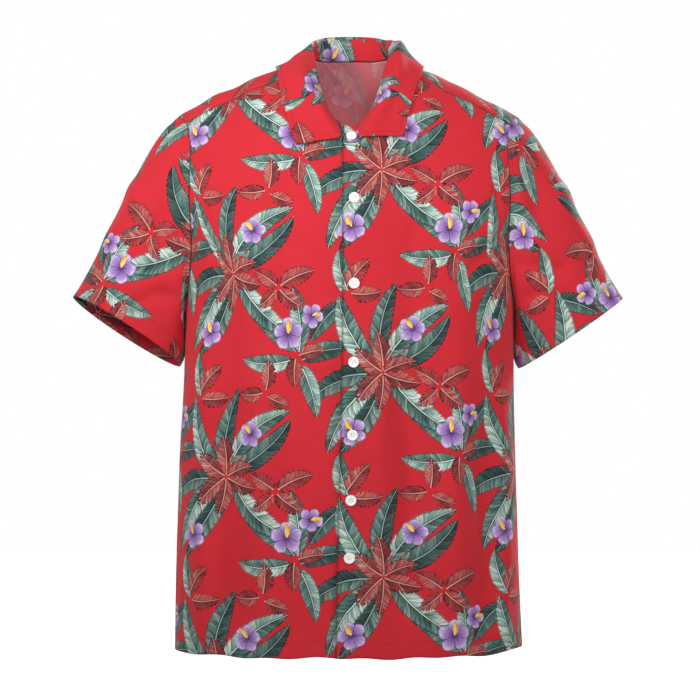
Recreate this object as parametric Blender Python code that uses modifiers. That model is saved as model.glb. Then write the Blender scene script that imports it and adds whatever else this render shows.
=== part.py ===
# A short-sleeved hawaiian shirt, filled out as if worn: fronts, back, sleeves, collar and buttons.
# Metres, +Z up. The front faces -Y and +X is the wearer's left. The origin is the middle of the neck,
# level with the shoulders where the collar's edge crosses them.

import math

import bmesh
import bpy
import numpy as np
from mathutils import Vector

# Driving dimensions
HEM_Z = -0.727
CLOTH = 0.0012  # wall of each piece
SEAM_GAP = 0.0009  # between panels that are sewn together
LAP = 0.0020  # how far the left front stands out over the right one
LAP_WIDTH = 0.0147  # each front reaches this far past the line of buttons
LAP_RAMP = (0.0180, 0.0600)  # distances from the buttons over which it settles back onto the body
LAP_ROWS = (6, 9)  # rows of the collar's table over which the stand moves out with it
FRONT_DEPTH = 0.115
BACK_DEPTH = 0.110
SQUARENESS = 2.5  # exponent of the body's rounded-oblong section
TOP_HALF_WIDTH = 0.222
FRONT_ROLL = (0.357, 0.110)  # height over which the front rounds back, at the neck and the shoulder's end
BACK_ROLL = (0.180, 0.110)
SEAM_FALL = 0.018  # the shoulder seam lies this far below the ridge, on the front
FRONT_FALL, BACK_FALL = SEAM_FALL + SEAM_GAP / 2, SEAM_FALL - SEAM_GAP / 2
ARMPIT_Z = -0.305
SHOULDER_TIP_Z = -0.060
ARMHOLE_HALF_DEPTH = 0.060
ARMHOLE_SQUARENESS = 2.3
SLEEVE_SEAM = (0.0019, 0.0010)  # the sleeve starts this far outside the armhole, at the armpit and on top
SLEEVE_LOW, SLEEVE_HIGH = (0.30, -0.95), (0.80, -0.60)  # the way out (x, z) in which it leaves there
SLEEVE_LEAVE = 0.62  # how long it keeps to that way
STAND_SEAM = 0.0028  # the stand starts this far above the neckline
STAND_BOW = 0.0008
STAND_UNDER, STAND_OVER = 1.36, 0.60  # rows that its two ends go past the middle of the front
LEAF_SEAM = 0.0023  # the leaf's outer surface starts this far above the stand
LEAF_CLEARANCE = 0.0038  # between the body and the leaf's outer surface
LEAF_LIFT = 0.0020
LEAF_AHEAD = (0.010, 0.035)  # distances before the neck's middle over which it's moved clear forward
FOLD_OUT = (0.0055, 0.0034)  # from the stand's top out to the fold, at the back and the front
FOLD_UP = 0.0012
FORWARD_ROWS = (2, 8)  # the leaf comes to lie close on the body between these rows
NECK_RISE = (0.45, 0.0)  # it passes the neck seam this share up the stand, at the back and front
NECK_AWAY = (0.0072, 0.0072)  # and this far from it
PUFF_ROWS = (1.3, 3.4, 4.2, 6.5)  # on the wearer's left it stands away more: where that starts and ends
PUFF = (0.0100, -0.0045, 0.0118, 0.0080)  # how far the fold goes out and up, then the leaf over the neck seam
BUTTON_RADIUS = 0.0066
BUTTON_THICKNESS = 0.0024
BUTTON_ROUND = 0.0005
BUTTON_DISH = (0.0041, 0.0005)  # radius, depth
BUTTON_HOLES = 4
BUTTON_HOLE_RADIUS = 0.00075
BUTTON_HOLE_SPREAD = 0.0018
BUTTON_GAP = 0.0003
NECK_BUTTON = (-0.13, 0.31, 0.0009)  # rows past the middle, share of the stand's height, distance from it

# Colour and roughness
COTTON = ((0.72, 0.035, 0.05), 0.8)
POLYESTER = ((0.86, 0.85, 0.82), 0.25)
SHADES = {
    "front_right": 0.97,
    "front_left": 1.0,
    "back": 0.92,
    "sleeve_right": 0.96,
    "sleeve_left": 0.96,
    "collar_stand": 1.0,
    "collar_leaf": 1.05,
}

# Faces of the faceted walls
FRONT_GRID = (10, 6, 11, 12)  # columns under the neck and shoulder, rows beside the side seam and armhole
BACK_GRID = (7, 6, 10, 6, 8)  # the same for half the back, with the last rows going over the shoulder
BACK_TOP_TURN = math.radians(148)  # those start at this turn of the armhole
SLEEVE_ROWS = 8
STAND_COLUMNS, STAND_ROWS = 40, 3
LEAF_COLUMNS, LEAF_ROWS = 40, 7
BUTTON_SIDES, BUTTON_HOLE_SIDES = 20, 6
BUTTON_SHARP = math.radians(40)
FINE = 400  # points along an edge before it's cut into even lengths
HALVINGS = 50  # of the range in which a place is looked for
RELAXING_STEPS = 400
METRES_PER_STEP = np.array([0.19, 0.36])  # roughly what one radian of angle and one unit of reach measure

# Half widths of the body at each height
BODY = (
    # z, wearer's right, wearer's left
    (HEM_Z, 0.2205, 0.2167),
    (-0.610, 0.2180, 0.2117),
    (-0.484, 0.2136, 0.2073),
    (-0.378, 0.2080, 0.2055),
    (ARMPIT_Z, 0.2072, 0.2065),
    (-0.250, 0.2100, 0.2100),
    (-0.205, 0.2140, 0.2140),
    (-0.155, 0.2190, 0.2190),
    (-0.080, TOP_HALF_WIDTH, TOP_HALF_WIDTH),
    (0.060, TOP_HALF_WIDTH, TOP_HALF_WIDTH),
)

# The ridge from the middle of the neck to past the shoulder's end
RIDGE = (
    # distance from the middle, z on the wearer's right, z on the left
    (0.000, 0.0510, 0.0510),
    (0.030, 0.0410, 0.0410),
    (0.046, 0.0290, 0.0290),
    (0.062, 0.0160, 0.0160),
    (0.093, 0.0000, 0.0000),
    (0.104, -0.0043, -0.0045),
    (0.125, -0.0127, -0.0154),
    (0.144, -0.0228, -0.0236),
    (0.171, -0.0327, -0.0383),
    (0.189, -0.0428, -0.0476),
    (0.207, -0.0531, -0.0571),
    (TOP_HALF_WIDTH, -0.0632, -0.0665),
)

# Collar, in rows from the middle of the back round to the middle of the front: where the stand meets
# the body, and the stand's top edge
COLLAR = (
    # neck x, y, top x, y, z
    (0.000, 0.0640, 0.0000, 0.0660, 0.0470),
    (0.028, 0.0570, 0.0270, 0.0590, 0.0450),
    (0.046, 0.0400, 0.0400, 0.0450, 0.0400),
    (0.060, 0.0200, 0.0470, 0.0240, 0.0330),
    (0.071, 0.0000, 0.0490, 0.0020, 0.0220),
    (0.069, -0.0240, 0.0480, -0.0160, 0.0100),
    (0.061, -0.0480, 0.0450, -0.0320, -0.0090),
    (0.047, -0.0690, 0.0370, -0.0490, -0.0380),
    (0.028, -0.0850, 0.0240, -0.0650, -0.0650),
    (0.014, -0.0925, 0.0120, -0.0720, -0.0770),
    (0.000, -0.0940, 0.0000, -0.0740, -0.0780),
)
MIRRORED = (-1, 1, -1, 1, 1)
FIRST_SIDE_ROW, CENTRE_FRONT = 4, 10
PAST_MIDDLE = 3  # rows that the loop goes on past the middle of the front

# The leaf's outer edge beside each of those rows, as far as its two points
LEAF_EDGE = (
    # wearer's right x, y, z, wearer's left x, y, z
    (0.0000, 0.080, 0.001, 0.0000, 0.080, 0.001),
    (0.0300, 0.075, 0.000, 0.0300, 0.075, 0.000),
    (0.0600, 0.058, -0.001, 0.0600, 0.058, -0.001),
    (0.0820, 0.030, 0.002, 0.0810, 0.030, 0.003),
    (0.0920, 0.000, 0.001, 0.0910, 0.000, 0.003),
    (0.0900, -0.030, -0.008, 0.0885, -0.030, -0.012),
    (0.0860, -0.054, -0.033, 0.0780, -0.058, -0.041),
    (0.0800, -0.070, -0.055, 0.0735, -0.070, -0.056),
    (0.0735, -0.083, -0.083, 0.0685, -0.080, -0.077),
    (0.0660, -0.091, -0.102, 0.0674, -0.087, -0.091),
)
LEAF_END = len(LEAF_EDGE) - 1

# The line of buttons, which wanders a little to the wearer's right on its way down
CENTRE_LINE = (
    # z, x
    (HEM_Z, -0.0030),
    (-0.600, -0.0008),
    (-0.530, 0.0012),
    (-0.450, 0.0032),
    (-0.360, 0.0044),
    (0.100, 0.0044),
)
BUTTON_HEIGHTS = (-0.168, -0.272, -0.3675, -0.456, -0.535, -0.605)

# Each sleeve's hem is an oval between an outer and an inner end, its front drawn up the arm by "tilt"
SLEEVES = (
    # side, outer x, outer z, inner x, inner z, half depth, tilt
    (-1, 0.3490, -0.2860, 0.2135, -0.3730, 0.051, 0.010),
    (1, 0.3435, -0.2870, 0.2120, -0.3760, 0.050, -0.002),
)


def smooth(rows, at):
    """Each column of a table at fractional row numbers, through every row without corners."""
    rows = np.asarray(rows, float)
    at = np.clip(np.asarray(at, float), 0, len(rows) - 1)
    low = np.minimum(at.astype(int), len(rows) - 2)
    part = (at - low)[..., None]
    slope = np.gradient(rows, axis=0)
    first, last = rows[low], rows[low + 1]
    return (
        first * (1 + 2 * part) * (1 - part) ** 2
        + last * part**2 * (3 - 2 * part)
        + slope[low] * part * (1 - part) ** 2
        + slope[low + 1] * part**2 * (part - 1)
    )


def read(table, value, column):
    """One column of a table, smoothly, at a value of its first column, which rises from row to row."""
    keys = np.array([row[0] for row in table])
    values = np.array([row[column] for row in table])
    value = np.clip(value, keys[0], keys[-1])
    slope = np.gradient(values, keys)
    low = np.clip(np.searchsorted(keys, value) - 1, 0, len(keys) - 2)
    span = keys[low + 1] - keys[low]
    part = (value - keys[low]) / span
    return (
        values[low] * (1 + 2 * part) * (1 - part) ** 2
        + values[low + 1] * part**2 * (3 - 2 * part)
        + slope[low] * span * part * (1 - part) ** 2
        + slope[low + 1] * span * part**2 * (part - 1)
    )


def ease(value, start, end):
    part = np.clip((value - start) / (end - start), 0, 1)
    return part**2 * (3 - 2 * part)


# The body's surface is read by an angle round it (0 at the wearer's left side, 90 degrees at the middle,
# 180 at the right) and a reach over it (0 on the ridge, 1 at full depth, 2 at the hem; minus on the front).


def across(angle):
    cosine = np.cos(angle)
    return np.sign(cosine) * np.abs(cosine) ** (2 / SQUARENESS)


def depth_share(angle):
    return np.abs(np.sin(angle)) ** (2 / SQUARENESS)


def angle_at(x):
    share = np.clip(np.asarray(x) / TOP_HALF_WIDTH, -1, 1)
    return np.arccos(np.sign(share) * np.abs(share) ** (SQUARENESS / 2))


def ridge_and_roll(angle, front):
    x = np.abs(across(angle)) * TOP_HALF_WIDTH
    ridge = np.where(across(angle) < 0, read(RIDGE, x, 1), read(RIDGE, x, 2))
    neck, tip = (np.where(front, *pair) for pair in zip(FRONT_ROLL, BACK_ROLL, strict=True))
    return ridge, neck + (tip - neck) * (x / TOP_HALF_WIDTH) ** 2


def body(angle, reach):
    """Points of the body's outer surface."""
    angle, reach = np.broadcast_arrays(angle, reach)
    front = reach < 0
    ridge, roll = ridge_and_roll(angle, front)
    turn = np.minimum(np.abs(reach), 1) * math.pi / 2
    full = ridge - roll
    below = np.maximum(np.abs(reach) - 1, 0)
    z = ridge - roll * (1 - np.cos(turn)) + below * (HEM_Z - full)
    half_width = np.where(across(angle) < 0, read(BODY, z, 1), read(BODY, z, 2))
    depth = np.where(front, -FRONT_DEPTH, BACK_DEPTH)
    return np.stack([half_width * across(angle), depth * depth_share(angle) * np.sin(turn), z], axis=-1)


def reach_at_height(angle, z, front):
    ridge, roll = ridge_and_roll(angle, front)
    full = ridge - roll
    rolling = np.arccos(np.clip(1 - (ridge - z) / roll, -1, 1)) / (math.pi / 2)
    reach = np.where(z > full, rolling, 1 + (full - z) / (full - HEM_Z))
    return np.where(front, -reach, reach)


def reach_at_depth(angle, y):
    depth = np.where(y < 0, FRONT_DEPTH, BACK_DEPTH) * depth_share(angle)
    return np.arcsin(np.clip(y / depth, -1, 1)) / (math.pi / 2)


def normals(angle, reach):
    step = 1e-4
    along = body(angle + step, reach) - body(angle - step, reach)
    down = body(angle, reach + step) - body(angle, reach - step)
    normal = np.cross(down, along)
    return normal / np.maximum(np.linalg.norm(normal, axis=-1, keepdims=True), 1e-12)


def front_depth(x, z):
    """How far forward the body's surface is at a place seen from the front."""
    half_width = np.where(x < 0, read(BODY, z, 1), read(BODY, z, 2))
    angle = angle_at(np.clip(x / half_width, -0.999, 0.999) * TOP_HALF_WIDTH)
    ridge, roll = ridge_and_roll(angle, True)
    left = np.clip(1 - (ridge - z) / roll, 0, 1)
    return FRONT_DEPTH * depth_share(angle) * np.sqrt(1 - left**2)


# Edges of the panels, each a row of (angle, reach) pairs


def armhole(side, turns):
    """The armhole: -90 degrees at the armpit, 0 on the front, 90 at the shoulder and 180 on the back."""
    cosine, sine = np.cos(turns), np.sin(turns)
    y = -ARMHOLE_HALF_DEPTH * np.sign(cosine) * np.abs(cosine) ** (2 / ARMHOLE_SQUARENESS)
    middle, half = (SHOULDER_TIP_Z + ARMPIT_Z) / 2, (SHOULDER_TIP_Z - ARMPIT_Z) / 2
    z = middle + half * np.sign(sine) * np.abs(sine) ** (2 / ARMHOLE_SQUARENESS)
    front = y < 0
    wanted = np.maximum(np.abs(y), 1e-6)
    low, high = np.zeros_like(y), np.full_like(y, math.pi / 2)
    for _ in range(HALVINGS):
        from_side = (low + high) / 2
        angle = from_side if side > 0 else math.pi - from_side
        short = np.abs(body(angle, reach_at_height(angle, z, front))[..., 1]) < wanted
        low, high = np.where(short, from_side, low), np.where(short, high, from_side)
    return np.stack([angle, reach_at_height(angle, z, front)], axis=-1)


def collar(position):
    """Neck and stand top in one loop, at rows from the middle of the back, minus on the wearer's right."""
    left = np.array(COLLAR)
    right = left[:0:-1] * MIRRORED
    loop = np.concatenate([left[-1 - PAST_MIDDLE : -1], right, left[:-1], right[: PAST_MIDDLE + 1]])
    return smooth(loop, position + CENTRE_FRONT + PAST_MIDDLE)


def neckline(position):
    rows = collar(position)
    angle = angle_at(rows[..., 0])
    return np.stack([angle, reach_at_depth(angle, rows[..., 1])], axis=-1)


def drop(edge):
    """How far points on the front lie below the ridge."""
    ridge, _ = ridge_and_roll(edge[:, 0], True)
    return ridge - body(edge[:, 0], edge[:, 1])[:, 2]


def neck_to_seam(side, fall):
    """The row of the collar's table at which the neckline is a set fall below the ridge."""
    position = np.linspace(FIRST_SIDE_ROW, CENTRE_FRONT, FINE)
    return np.interp(fall, drop(neckline(side * position)), position)


def armhole_to_seam(side, fall):
    """The armhole's turn at that fall."""
    turns = np.linspace(math.pi / 2, 0, FINE)
    return np.interp(fall, drop(armhole(side, turns)), turns)


def arm_turns(side):
    """The armhole's turns at the front's and the back's rows of points, each from the armpit up."""
    stretches = (
        (-math.pi / 2, armhole_to_seam(side, FRONT_FALL), FRONT_GRID[3]),
        (1.5 * math.pi, BACK_TOP_TURN, BACK_GRID[3]),
        (BACK_TOP_TURN, armhole_to_seam(side, BACK_FALL), BACK_GRID[4]),
    )
    found = []
    for first, last, count in stretches:
        turns = np.linspace(first, last, FINE)
        found.append(np.interp(*even(armhole(side, turns), count), turns))
    return found[0], joined(*found[1:])


def shoulder_seam(side, fall):
    """From the armhole to the neckline, a set fall below the ridge."""
    outer = across(armhole(side, np.array([armhole_to_seam(side, fall)]))[0, 0])
    inner = across(neckline(np.array([side * neck_to_seam(side, fall)]))[0, 0])
    angle = angle_at(np.linspace(outer, inner, FINE) * TOP_HALF_WIDTH)
    _, roll = ridge_and_roll(angle, True)
    return np.stack([angle, -np.arccos(1 - fall / roll) / (math.pi / 2)], axis=-1)


def front_edge(x_from_centre, top):
    """A front's centre edge, from the hem up."""
    reach = np.linspace(-2, top, FINE)
    z = body(math.pi / 2, reach)[:, 2]
    half_width = read(BODY, z, 2)
    x = read(CENTRE_LINE, z, 1) + x_from_centre
    return np.stack([angle_at(x / half_width * TOP_HALF_WIDTH), reach], axis=-1)


def hem(first, last, reach):
    angle = np.linspace(first, last, FINE)
    return np.stack([angle, np.full_like(angle, reach)], axis=-1)


def joined(*pieces):
    return np.concatenate([pieces[0]] + [piece[1:] for piece in pieces[1:]])


def even(edge, count):
    """Even lengths along an edge on the body, and the length at each of its points."""
    place = body(edge[:, 0], edge[:, 1])
    length = np.concatenate([[0], np.cumsum(np.linalg.norm(np.diff(place, axis=0), axis=1))])
    return np.linspace(0, length[-1], count + 1), length


def spaced(edge, count):
    """An edge cut into a count of even lengths of cloth."""
    at, length = even(edge, count)
    return np.stack([np.interp(at, length, edge[:, k]) for k in (0, 1)], axis=-1)


def patch(bottom, top, left, right):
    """A grid between four edges, in angle and reach."""
    u = np.linspace(0, 1, len(bottom))[None, :, None]
    v = np.linspace(0, 1, len(left))[:, None, None]
    sides = (1 - v) * bottom + v * top + (1 - u) * left[:, None] + u * right[:, None]
    low = (1 - u) * bottom[0] + u * bottom[-1]
    high = (1 - u) * top[0] + u * top[-1]
    return relaxed(sides - (1 - v) * low - v * high)


def relaxed(grid):
    """A grid's inner points moved step by step (Winslow's smoothing) until its lines are even."""
    grid = grid * METRES_PER_STEP
    for _ in range(RELAXING_STEPS):
        before, after = grid[1:-1, :-2], grid[1:-1, 2:]
        below, above = grid[:-2, 1:-1], grid[2:, 1:-1]
        corners = (grid[2:, 2:] - grid[2:, :-2] - grid[:-2, 2:] + grid[:-2, :-2]) / 4
        along, up = (after - before) / 2, (above - below) / 2
        wide, high = ((step**2).sum(axis=-1, keepdims=True) for step in (along, up))
        skew = (along * up).sum(axis=-1, keepdims=True)
        grid[1:-1, 1:-1] = (high * (before + after) + wide * (below + above) - 2 * skew * corners) / (
            2 * (wide + high)
        )
    return grid / METRES_PER_STEP


# Pieces


def material(name, colour, roughness):
    """A plain material that isn't metal."""
    made = bpy.data.materials.new(name)
    made.use_nodes = True
    shader = made.node_tree.nodes["Principled BSDF"]
    shader.inputs["Base Color"].default_value = (*colour, 1)
    shader.inputs["Roughness"].default_value = roughness
    shader.inputs["Metallic"].default_value = 0
    return made


def cloth(name, points, collection, ring=False):
    """A wall of cloth on the inner side of a grid of points, which run anticlockwise seen from outside."""
    rows, columns = points.shape[:2]
    mesh = bmesh.new()
    verts = [[mesh.verts.new(point) for point in row] for row in points]
    for row in range(rows - 1):
        for column in range(columns if ring else columns - 1):
            after = (column + 1) % columns
            mesh.faces.new(
                (verts[row][column], verts[row][after], verts[row + 1][after], verts[row + 1][column])
            )
    data = bpy.data.meshes.new(name)
    mesh.to_mesh(data)
    mesh.free()
    data.shade_smooth()
    colour, roughness = COTTON
    shaded = [SHADES[name] * part for part in colour]
    data.materials.append(material(name + "_cotton", shaded, roughness))
    piece = bpy.data.objects.new(name, data)
    collection.objects.link(piece)
    wall = piece.modifiers.new("wall", "SOLIDIFY")
    wall.thickness = CLOTH
    wall.offset = -1
    wall.use_even_offset = True
    return piece


def side_angle():
    """The angle at which a panel stops short of the side seam."""
    return (SEAM_GAP / 2 / FRONT_DEPTH) ** (SQUARENESS / 2)


def side_seam(side, end, rows):
    """From the hem up to where an armhole starts."""
    angle = side_angle() if side > 0 else math.pi - side_angle()
    reach = np.linspace(math.copysign(2, end), end, FINE)
    return spaced(np.stack([np.full(FINE, angle), reach], axis=-1), rows)


def front_panel(side):
    """Angle and reach of one front's points, from its centre edge to its side seam and from the hem up."""
    neck_columns, shoulder_columns, side_rows, arm_rows = FRONT_GRID
    lap = -LAP_WIDTH if side > 0 else LAP_WIDTH
    line = neckline(side * np.linspace(neck_to_seam(side, FRONT_FALL), CENTRE_FRONT + PAST_MIDDLE, FINE))
    place = body(line[:, 0], line[:, 1])
    line = line[side * (place[:, 0] - read(CENTRE_LINE, place[:, 2], 1) - lap) >= 0]
    centre = front_edge(lap, line[-1, 1])
    centre[-1] = line[-1]
    arm = armhole(side, arm_turns(side)[0])
    seam = shoulder_seam(side, FRONT_FALL)
    seam[0], seam[-1] = arm[-1], line[0]
    up_side = side_seam(side, arm[0, 1], side_rows)
    arm[0] = up_side[-1]
    bottom = spaced(hem(centre[0, 0], up_side[0, 0], -2), neck_columns + shoulder_columns)
    top = joined(spaced(line[::-1], neck_columns), spaced(seam[::-1], shoulder_columns))
    return patch(bottom, top, spaced(centre, side_rows + arm_rows), joined(up_side, arm))


def front(side, name, collection):
    grid = front_panel(side)
    points = body(grid[..., 0], grid[..., 1])
    if side > 0:
        from_centre = points[..., 0] - read(CENTRE_LINE, points[..., 2], 1)
        raised = LAP * (1 - ease(from_centre, *LAP_RAMP))
        points = points + raised[..., None] * normals(grid[..., 0], grid[..., 1])
    cloth(name, points if side > 0 else points[:, ::-1], collection)


def back_panel():
    """Angle and reach of the back's points, from the wearer's left to the right and from the hem up."""
    neck_columns, shoulder_columns, side_rows = BACK_GRID[:3]
    sides, tops = {}, {}
    for side in (1, -1):
        arm = armhole(side, arm_turns(side)[1])
        up_side = side_seam(side, arm[0, 1], side_rows)
        arm[0] = up_side[-1]
        line = neckline(side * np.linspace(neck_to_seam(side, BACK_FALL), 0, FINE))
        seam = shoulder_seam(side, BACK_FALL)
        seam[0], seam[-1] = arm[-1], line[0]
        sides[side] = joined(up_side, arm)
        tops[side] = joined(spaced(seam, shoulder_columns), spaced(line, neck_columns))
    top = joined(tops[1], tops[-1][::-1])
    bottom = spaced(hem(sides[1][0, 0], sides[-1][0, 0], 2), 2 * (neck_columns + shoulder_columns))
    return patch(bottom, top, sides[1], sides[-1])


def back(collection):
    grid = back_panel()
    cloth("back", body(grid[..., 0], grid[..., 1]), collection)


def sleeve(side, outer_x, outer_z, inner_x, inner_z, half_depth, tilt, name, collection):
    """A tube from the armhole to an oval hem."""
    front_turns, back_turns = arm_turns(side)
    turns = np.concatenate([front_turns, back_turns[-2:0:-1]])
    edge = armhole(side, turns)
    start = body(edge[:, 0], edge[:, 1])
    outer = np.array([side * outer_x, 0, outer_z])
    inner = np.array([side * inner_x, 0, inner_z])
    half = (outer - inner) / 2
    arm = np.array([-half[2], 0, half[0]]) * side
    arm = -arm / np.linalg.norm(arm) * np.sign(arm[2])
    sine, cosine = np.sin(turns)[:, None], np.cos(turns)[:, None]
    end = (outer + inner) / 2 + half * sine - cosine * np.array([0, half_depth, 0]) - tilt * cosine * arm
    low, high = (np.array([side * x, 0, z]) for x, z in (SLEEVE_LOW, SLEEVE_HIGH))
    leave = low + (high - low) * (1 + sine) / 2
    seam = SLEEVE_SEAM[0] + (SLEEVE_SEAM[1] - SLEEVE_SEAM[0]) * (1 + sine) / 2
    start = start + seam * leave / np.linalg.norm(leave, axis=1, keepdims=True)
    length = np.linalg.norm(end - start, axis=1, keepdims=True)
    t = np.linspace(0, 1, SLEEVE_ROWS + 1)[:, None, None]
    points = (
        start * (1 + 2 * t) * (1 - t) ** 2
        + end * t**2 * (3 - 2 * t)
        + leave * length * SLEEVE_LEAVE * t * (1 - t) ** 2
        + arm * length * t**2 * (t - 1)
    )
    cloth(name, points[:, ::-1] if side > 0 else points, collection, ring=True)


def stand_points(position, share):
    """The collar stand at rows of its table and a share of its height, with the way out from it."""
    rows = collar(position)
    angle = angle_at(rows[..., 0])
    foot = body(angle, reach_at_depth(angle, rows[..., 1]))
    rise = rows[..., 2:5] - foot
    height = np.linalg.norm(rise, axis=-1, keepdims=True)
    outward = -np.cross(np.gradient(foot + rows[..., 2:5], axis=0), rise)
    outward /= np.linalg.norm(outward, axis=-1, keepdims=True)
    offset = LAP * ease(position, *LAP_ROWS) - STAND_BOW * 4 * share * (1 - share)
    points = foot + rise * (share + (1 - share) * STAND_SEAM / height) + outward * offset[..., None]
    return points, outward


def collar_stand(collection):
    position = np.linspace(-CENTRE_FRONT - STAND_UNDER, CENTRE_FRONT + STAND_OVER, STAND_COLUMNS + 1)
    points = np.stack([stand_points(position, share)[0] for share in np.linspace(0, 1, STAND_ROWS + 1)])
    cloth("collar_stand", points[:, ::-1], collection)


def clear(points):
    """Points of the leaf moved, where they need it, clear of the panels: forward, then straight off."""
    x, y, z = points.T
    clearance = LEAF_CLEARANCE + LAP * (1 - ease(x, *LAP_RAMP)) * (x > 0) * (y < 0)
    forward = np.maximum(-y, front_depth(x, z) + clearance) + y
    y = y - ease(-y, *LEAF_AHEAD) * forward
    angle = angle_at(x)
    reach = reach_at_depth(angle, y)
    points = np.stack([x, y, z], axis=-1)
    normal = normals(angle, reach)
    off = ((points - body(angle, reach)) * normal).sum(axis=-1)
    return points + np.maximum(clearance - off, 0)[:, None] * normal


def collar_leaf(collection):
    """At each place round the neck, a curve from the stand's top, over the fold, to the outer edge."""
    position = np.linspace(-LEAF_END, LEAF_END, LEAF_COLUMNS + 1)
    right, left = np.array(LEAF_EDGE)[:, :3] * (-1, 1, 1), np.array(LEAF_EDGE)[:, 3:]
    edge = smooth(np.concatenate([right[:0:-1], left]), position + LEAF_END)
    rows = collar(position)
    neck_normal = normals(angle_at(rows[:, 0]), reach_at_depth(angle_at(rows[:, 0]), rows[:, 1]))
    foot, _ = stand_points(position, 0.0)
    top, outward = stand_points(position, 1.0)
    up = (top - foot) / np.linalg.norm(top - foot, axis=1, keepdims=True)
    forward = ease(np.abs(position), *FORWARD_ROWS)[:, None]
    rise, away, fold_out = (a + (b - a) * forward for a, b in (NECK_RISE, NECK_AWAY, FOLD_OUT))
    start = top - outward * CLOTH + up * LEAF_SEAM
    fold = start + outward * fold_out + up * FOLD_UP
    over_neck = foot + (top - foot) * rise + (outward + neck_normal) / 2 * away
    puff = (ease(position, *PUFF_ROWS[:2]) - ease(position, *PUFF_ROWS[2:]))[:, None]
    fold += puff * (outward * PUFF[0] + up * PUFF[1])
    over_neck += puff * (outward * PUFF[2] + up * PUFF[3])
    middle = clear((over_neck + edge) / 2 + up * LEAF_LIFT * (1 - forward))
    curve = np.stack([start, fold, over_neck, middle, clear(edge)]).reshape(5, -1)
    points = smooth(curve, np.linspace(0, 4, LEAF_ROWS + 1))
    cloth("collar_leaf", points.reshape(LEAF_ROWS + 1, -1, 3), collection)


def cylinder(name, radius, height, base, collection, segments, centre=(0, 0)):
    mesh = bmesh.new()
    bmesh.ops.create_cone(
        mesh, cap_ends=True, segments=segments, radius1=radius, radius2=radius, depth=height
    )
    bmesh.ops.translate(mesh, verts=mesh.verts, vec=(*centre, base + height / 2))
    data = bpy.data.meshes.new(name)
    mesh.to_mesh(data)
    mesh.free()
    made = bpy.data.objects.new(name, data)
    collection.objects.link(made)
    return made


def button_mesh(cutters):
    """A dished disc with a rounded rim and four holes, its back at z = 0."""
    disc = cylinder("button_blank", BUTTON_RADIUS, BUTTON_THICKNESS, 0, cutters, BUTTON_SIDES)
    rim = disc.modifiers.new("rim", "BEVEL")
    rim.width = BUTTON_ROUND
    rim.segments = 1
    base = BUTTON_THICKNESS - BUTTON_DISH[1]
    tools = [cylinder("button_dish", BUTTON_DISH[0], 2 * BUTTON_DISH[1], base, cutters, BUTTON_SIDES)]
    hole = (BUTTON_HOLE_RADIUS, 3 * BUTTON_THICKNESS, -BUTTON_THICKNESS, cutters, BUTTON_HOLE_SIDES)
    for number in range(BUTTON_HOLES):
        angle = math.tau * (number + 0.5) / BUTTON_HOLES
        centre = (BUTTON_HOLE_SPREAD * math.cos(angle), BUTTON_HOLE_SPREAD * math.sin(angle))
        tools.append(cylinder(f"button_hole_{number + 1}", *hole, centre))
    for tool in tools:
        cut = disc.modifiers.new(tool.name, "BOOLEAN")
        cut.operation = "DIFFERENCE"
        cut.object = tool
        tool.display_type = "WIRE"
        tool.hide_render = True
    bpy.context.view_layer.update()
    mesh = bpy.data.meshes.new_from_object(disc.evaluated_get(bpy.context.evaluated_depsgraph_get()))
    mesh.set_sharp_from_angle(angle=BUTTON_SHARP)
    mesh.materials.clear()
    mesh.materials.append(material("button_polyester", *POLYESTER))
    bpy.data.objects.remove(disc)
    return mesh


def place_button(name, mesh, point, normal, gap, collection):
    """A button whose back lies just off the cloth, square to its surface."""
    piece = bpy.data.objects.new(name, mesh)
    collection.objects.link(piece)
    normal = Vector(normal).normalized()
    piece.rotation_mode = "QUATERNION"
    piece.rotation_quaternion = normal.to_track_quat("Z", "Y")
    piece.location = Vector(point) + normal * gap


def buttons(collection, cutters):
    mesh = button_mesh(cutters)
    row, share, gap = NECK_BUTTON
    beside = 0.02
    points, outward = stand_points(CENTRE_FRONT + row + np.array([-beside, 0, beside]), share)
    place_button("button_collar", mesh, points[1], outward[1], gap, collection)
    for number, z in enumerate(BUTTON_HEIGHTS, 1):
        x = float(read(CENTRE_LINE, z, 1))
        angle = angle_at(x / float(read(BODY, z, 2)) * TOP_HALF_WIDTH)
        reach = reach_at_height(angle, z, True)
        normal = normals(angle, reach)
        point = body(angle, reach) + LAP * normal
        place_button(f"button_front_{number}", mesh, point, normal, BUTTON_GAP, collection)


def main():
    for item in list(bpy.data.objects):
        bpy.data.objects.remove(item)
    shirt = bpy.data.collections.new("hawaiian_shirt")
    cutters = bpy.data.collections.new("cutters")
    for collection in (shirt, cutters):
        bpy.context.scene.collection.children.link(collection)
    front(-1, "front_right", shirt)
    front(1, "front_left", shirt)
    back(shirt)
    for row, name in zip(SLEEVES, ("sleeve_right", "sleeve_left"), strict=True):
        sleeve(*row, name, shirt)
    collar_stand(shirt)
    collar_leaf(shirt)
    buttons(shirt, cutters)
    cutters.hide_render = True


main()
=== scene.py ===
import math

import bpy
import numpy as np
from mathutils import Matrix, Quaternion, Vector


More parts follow.
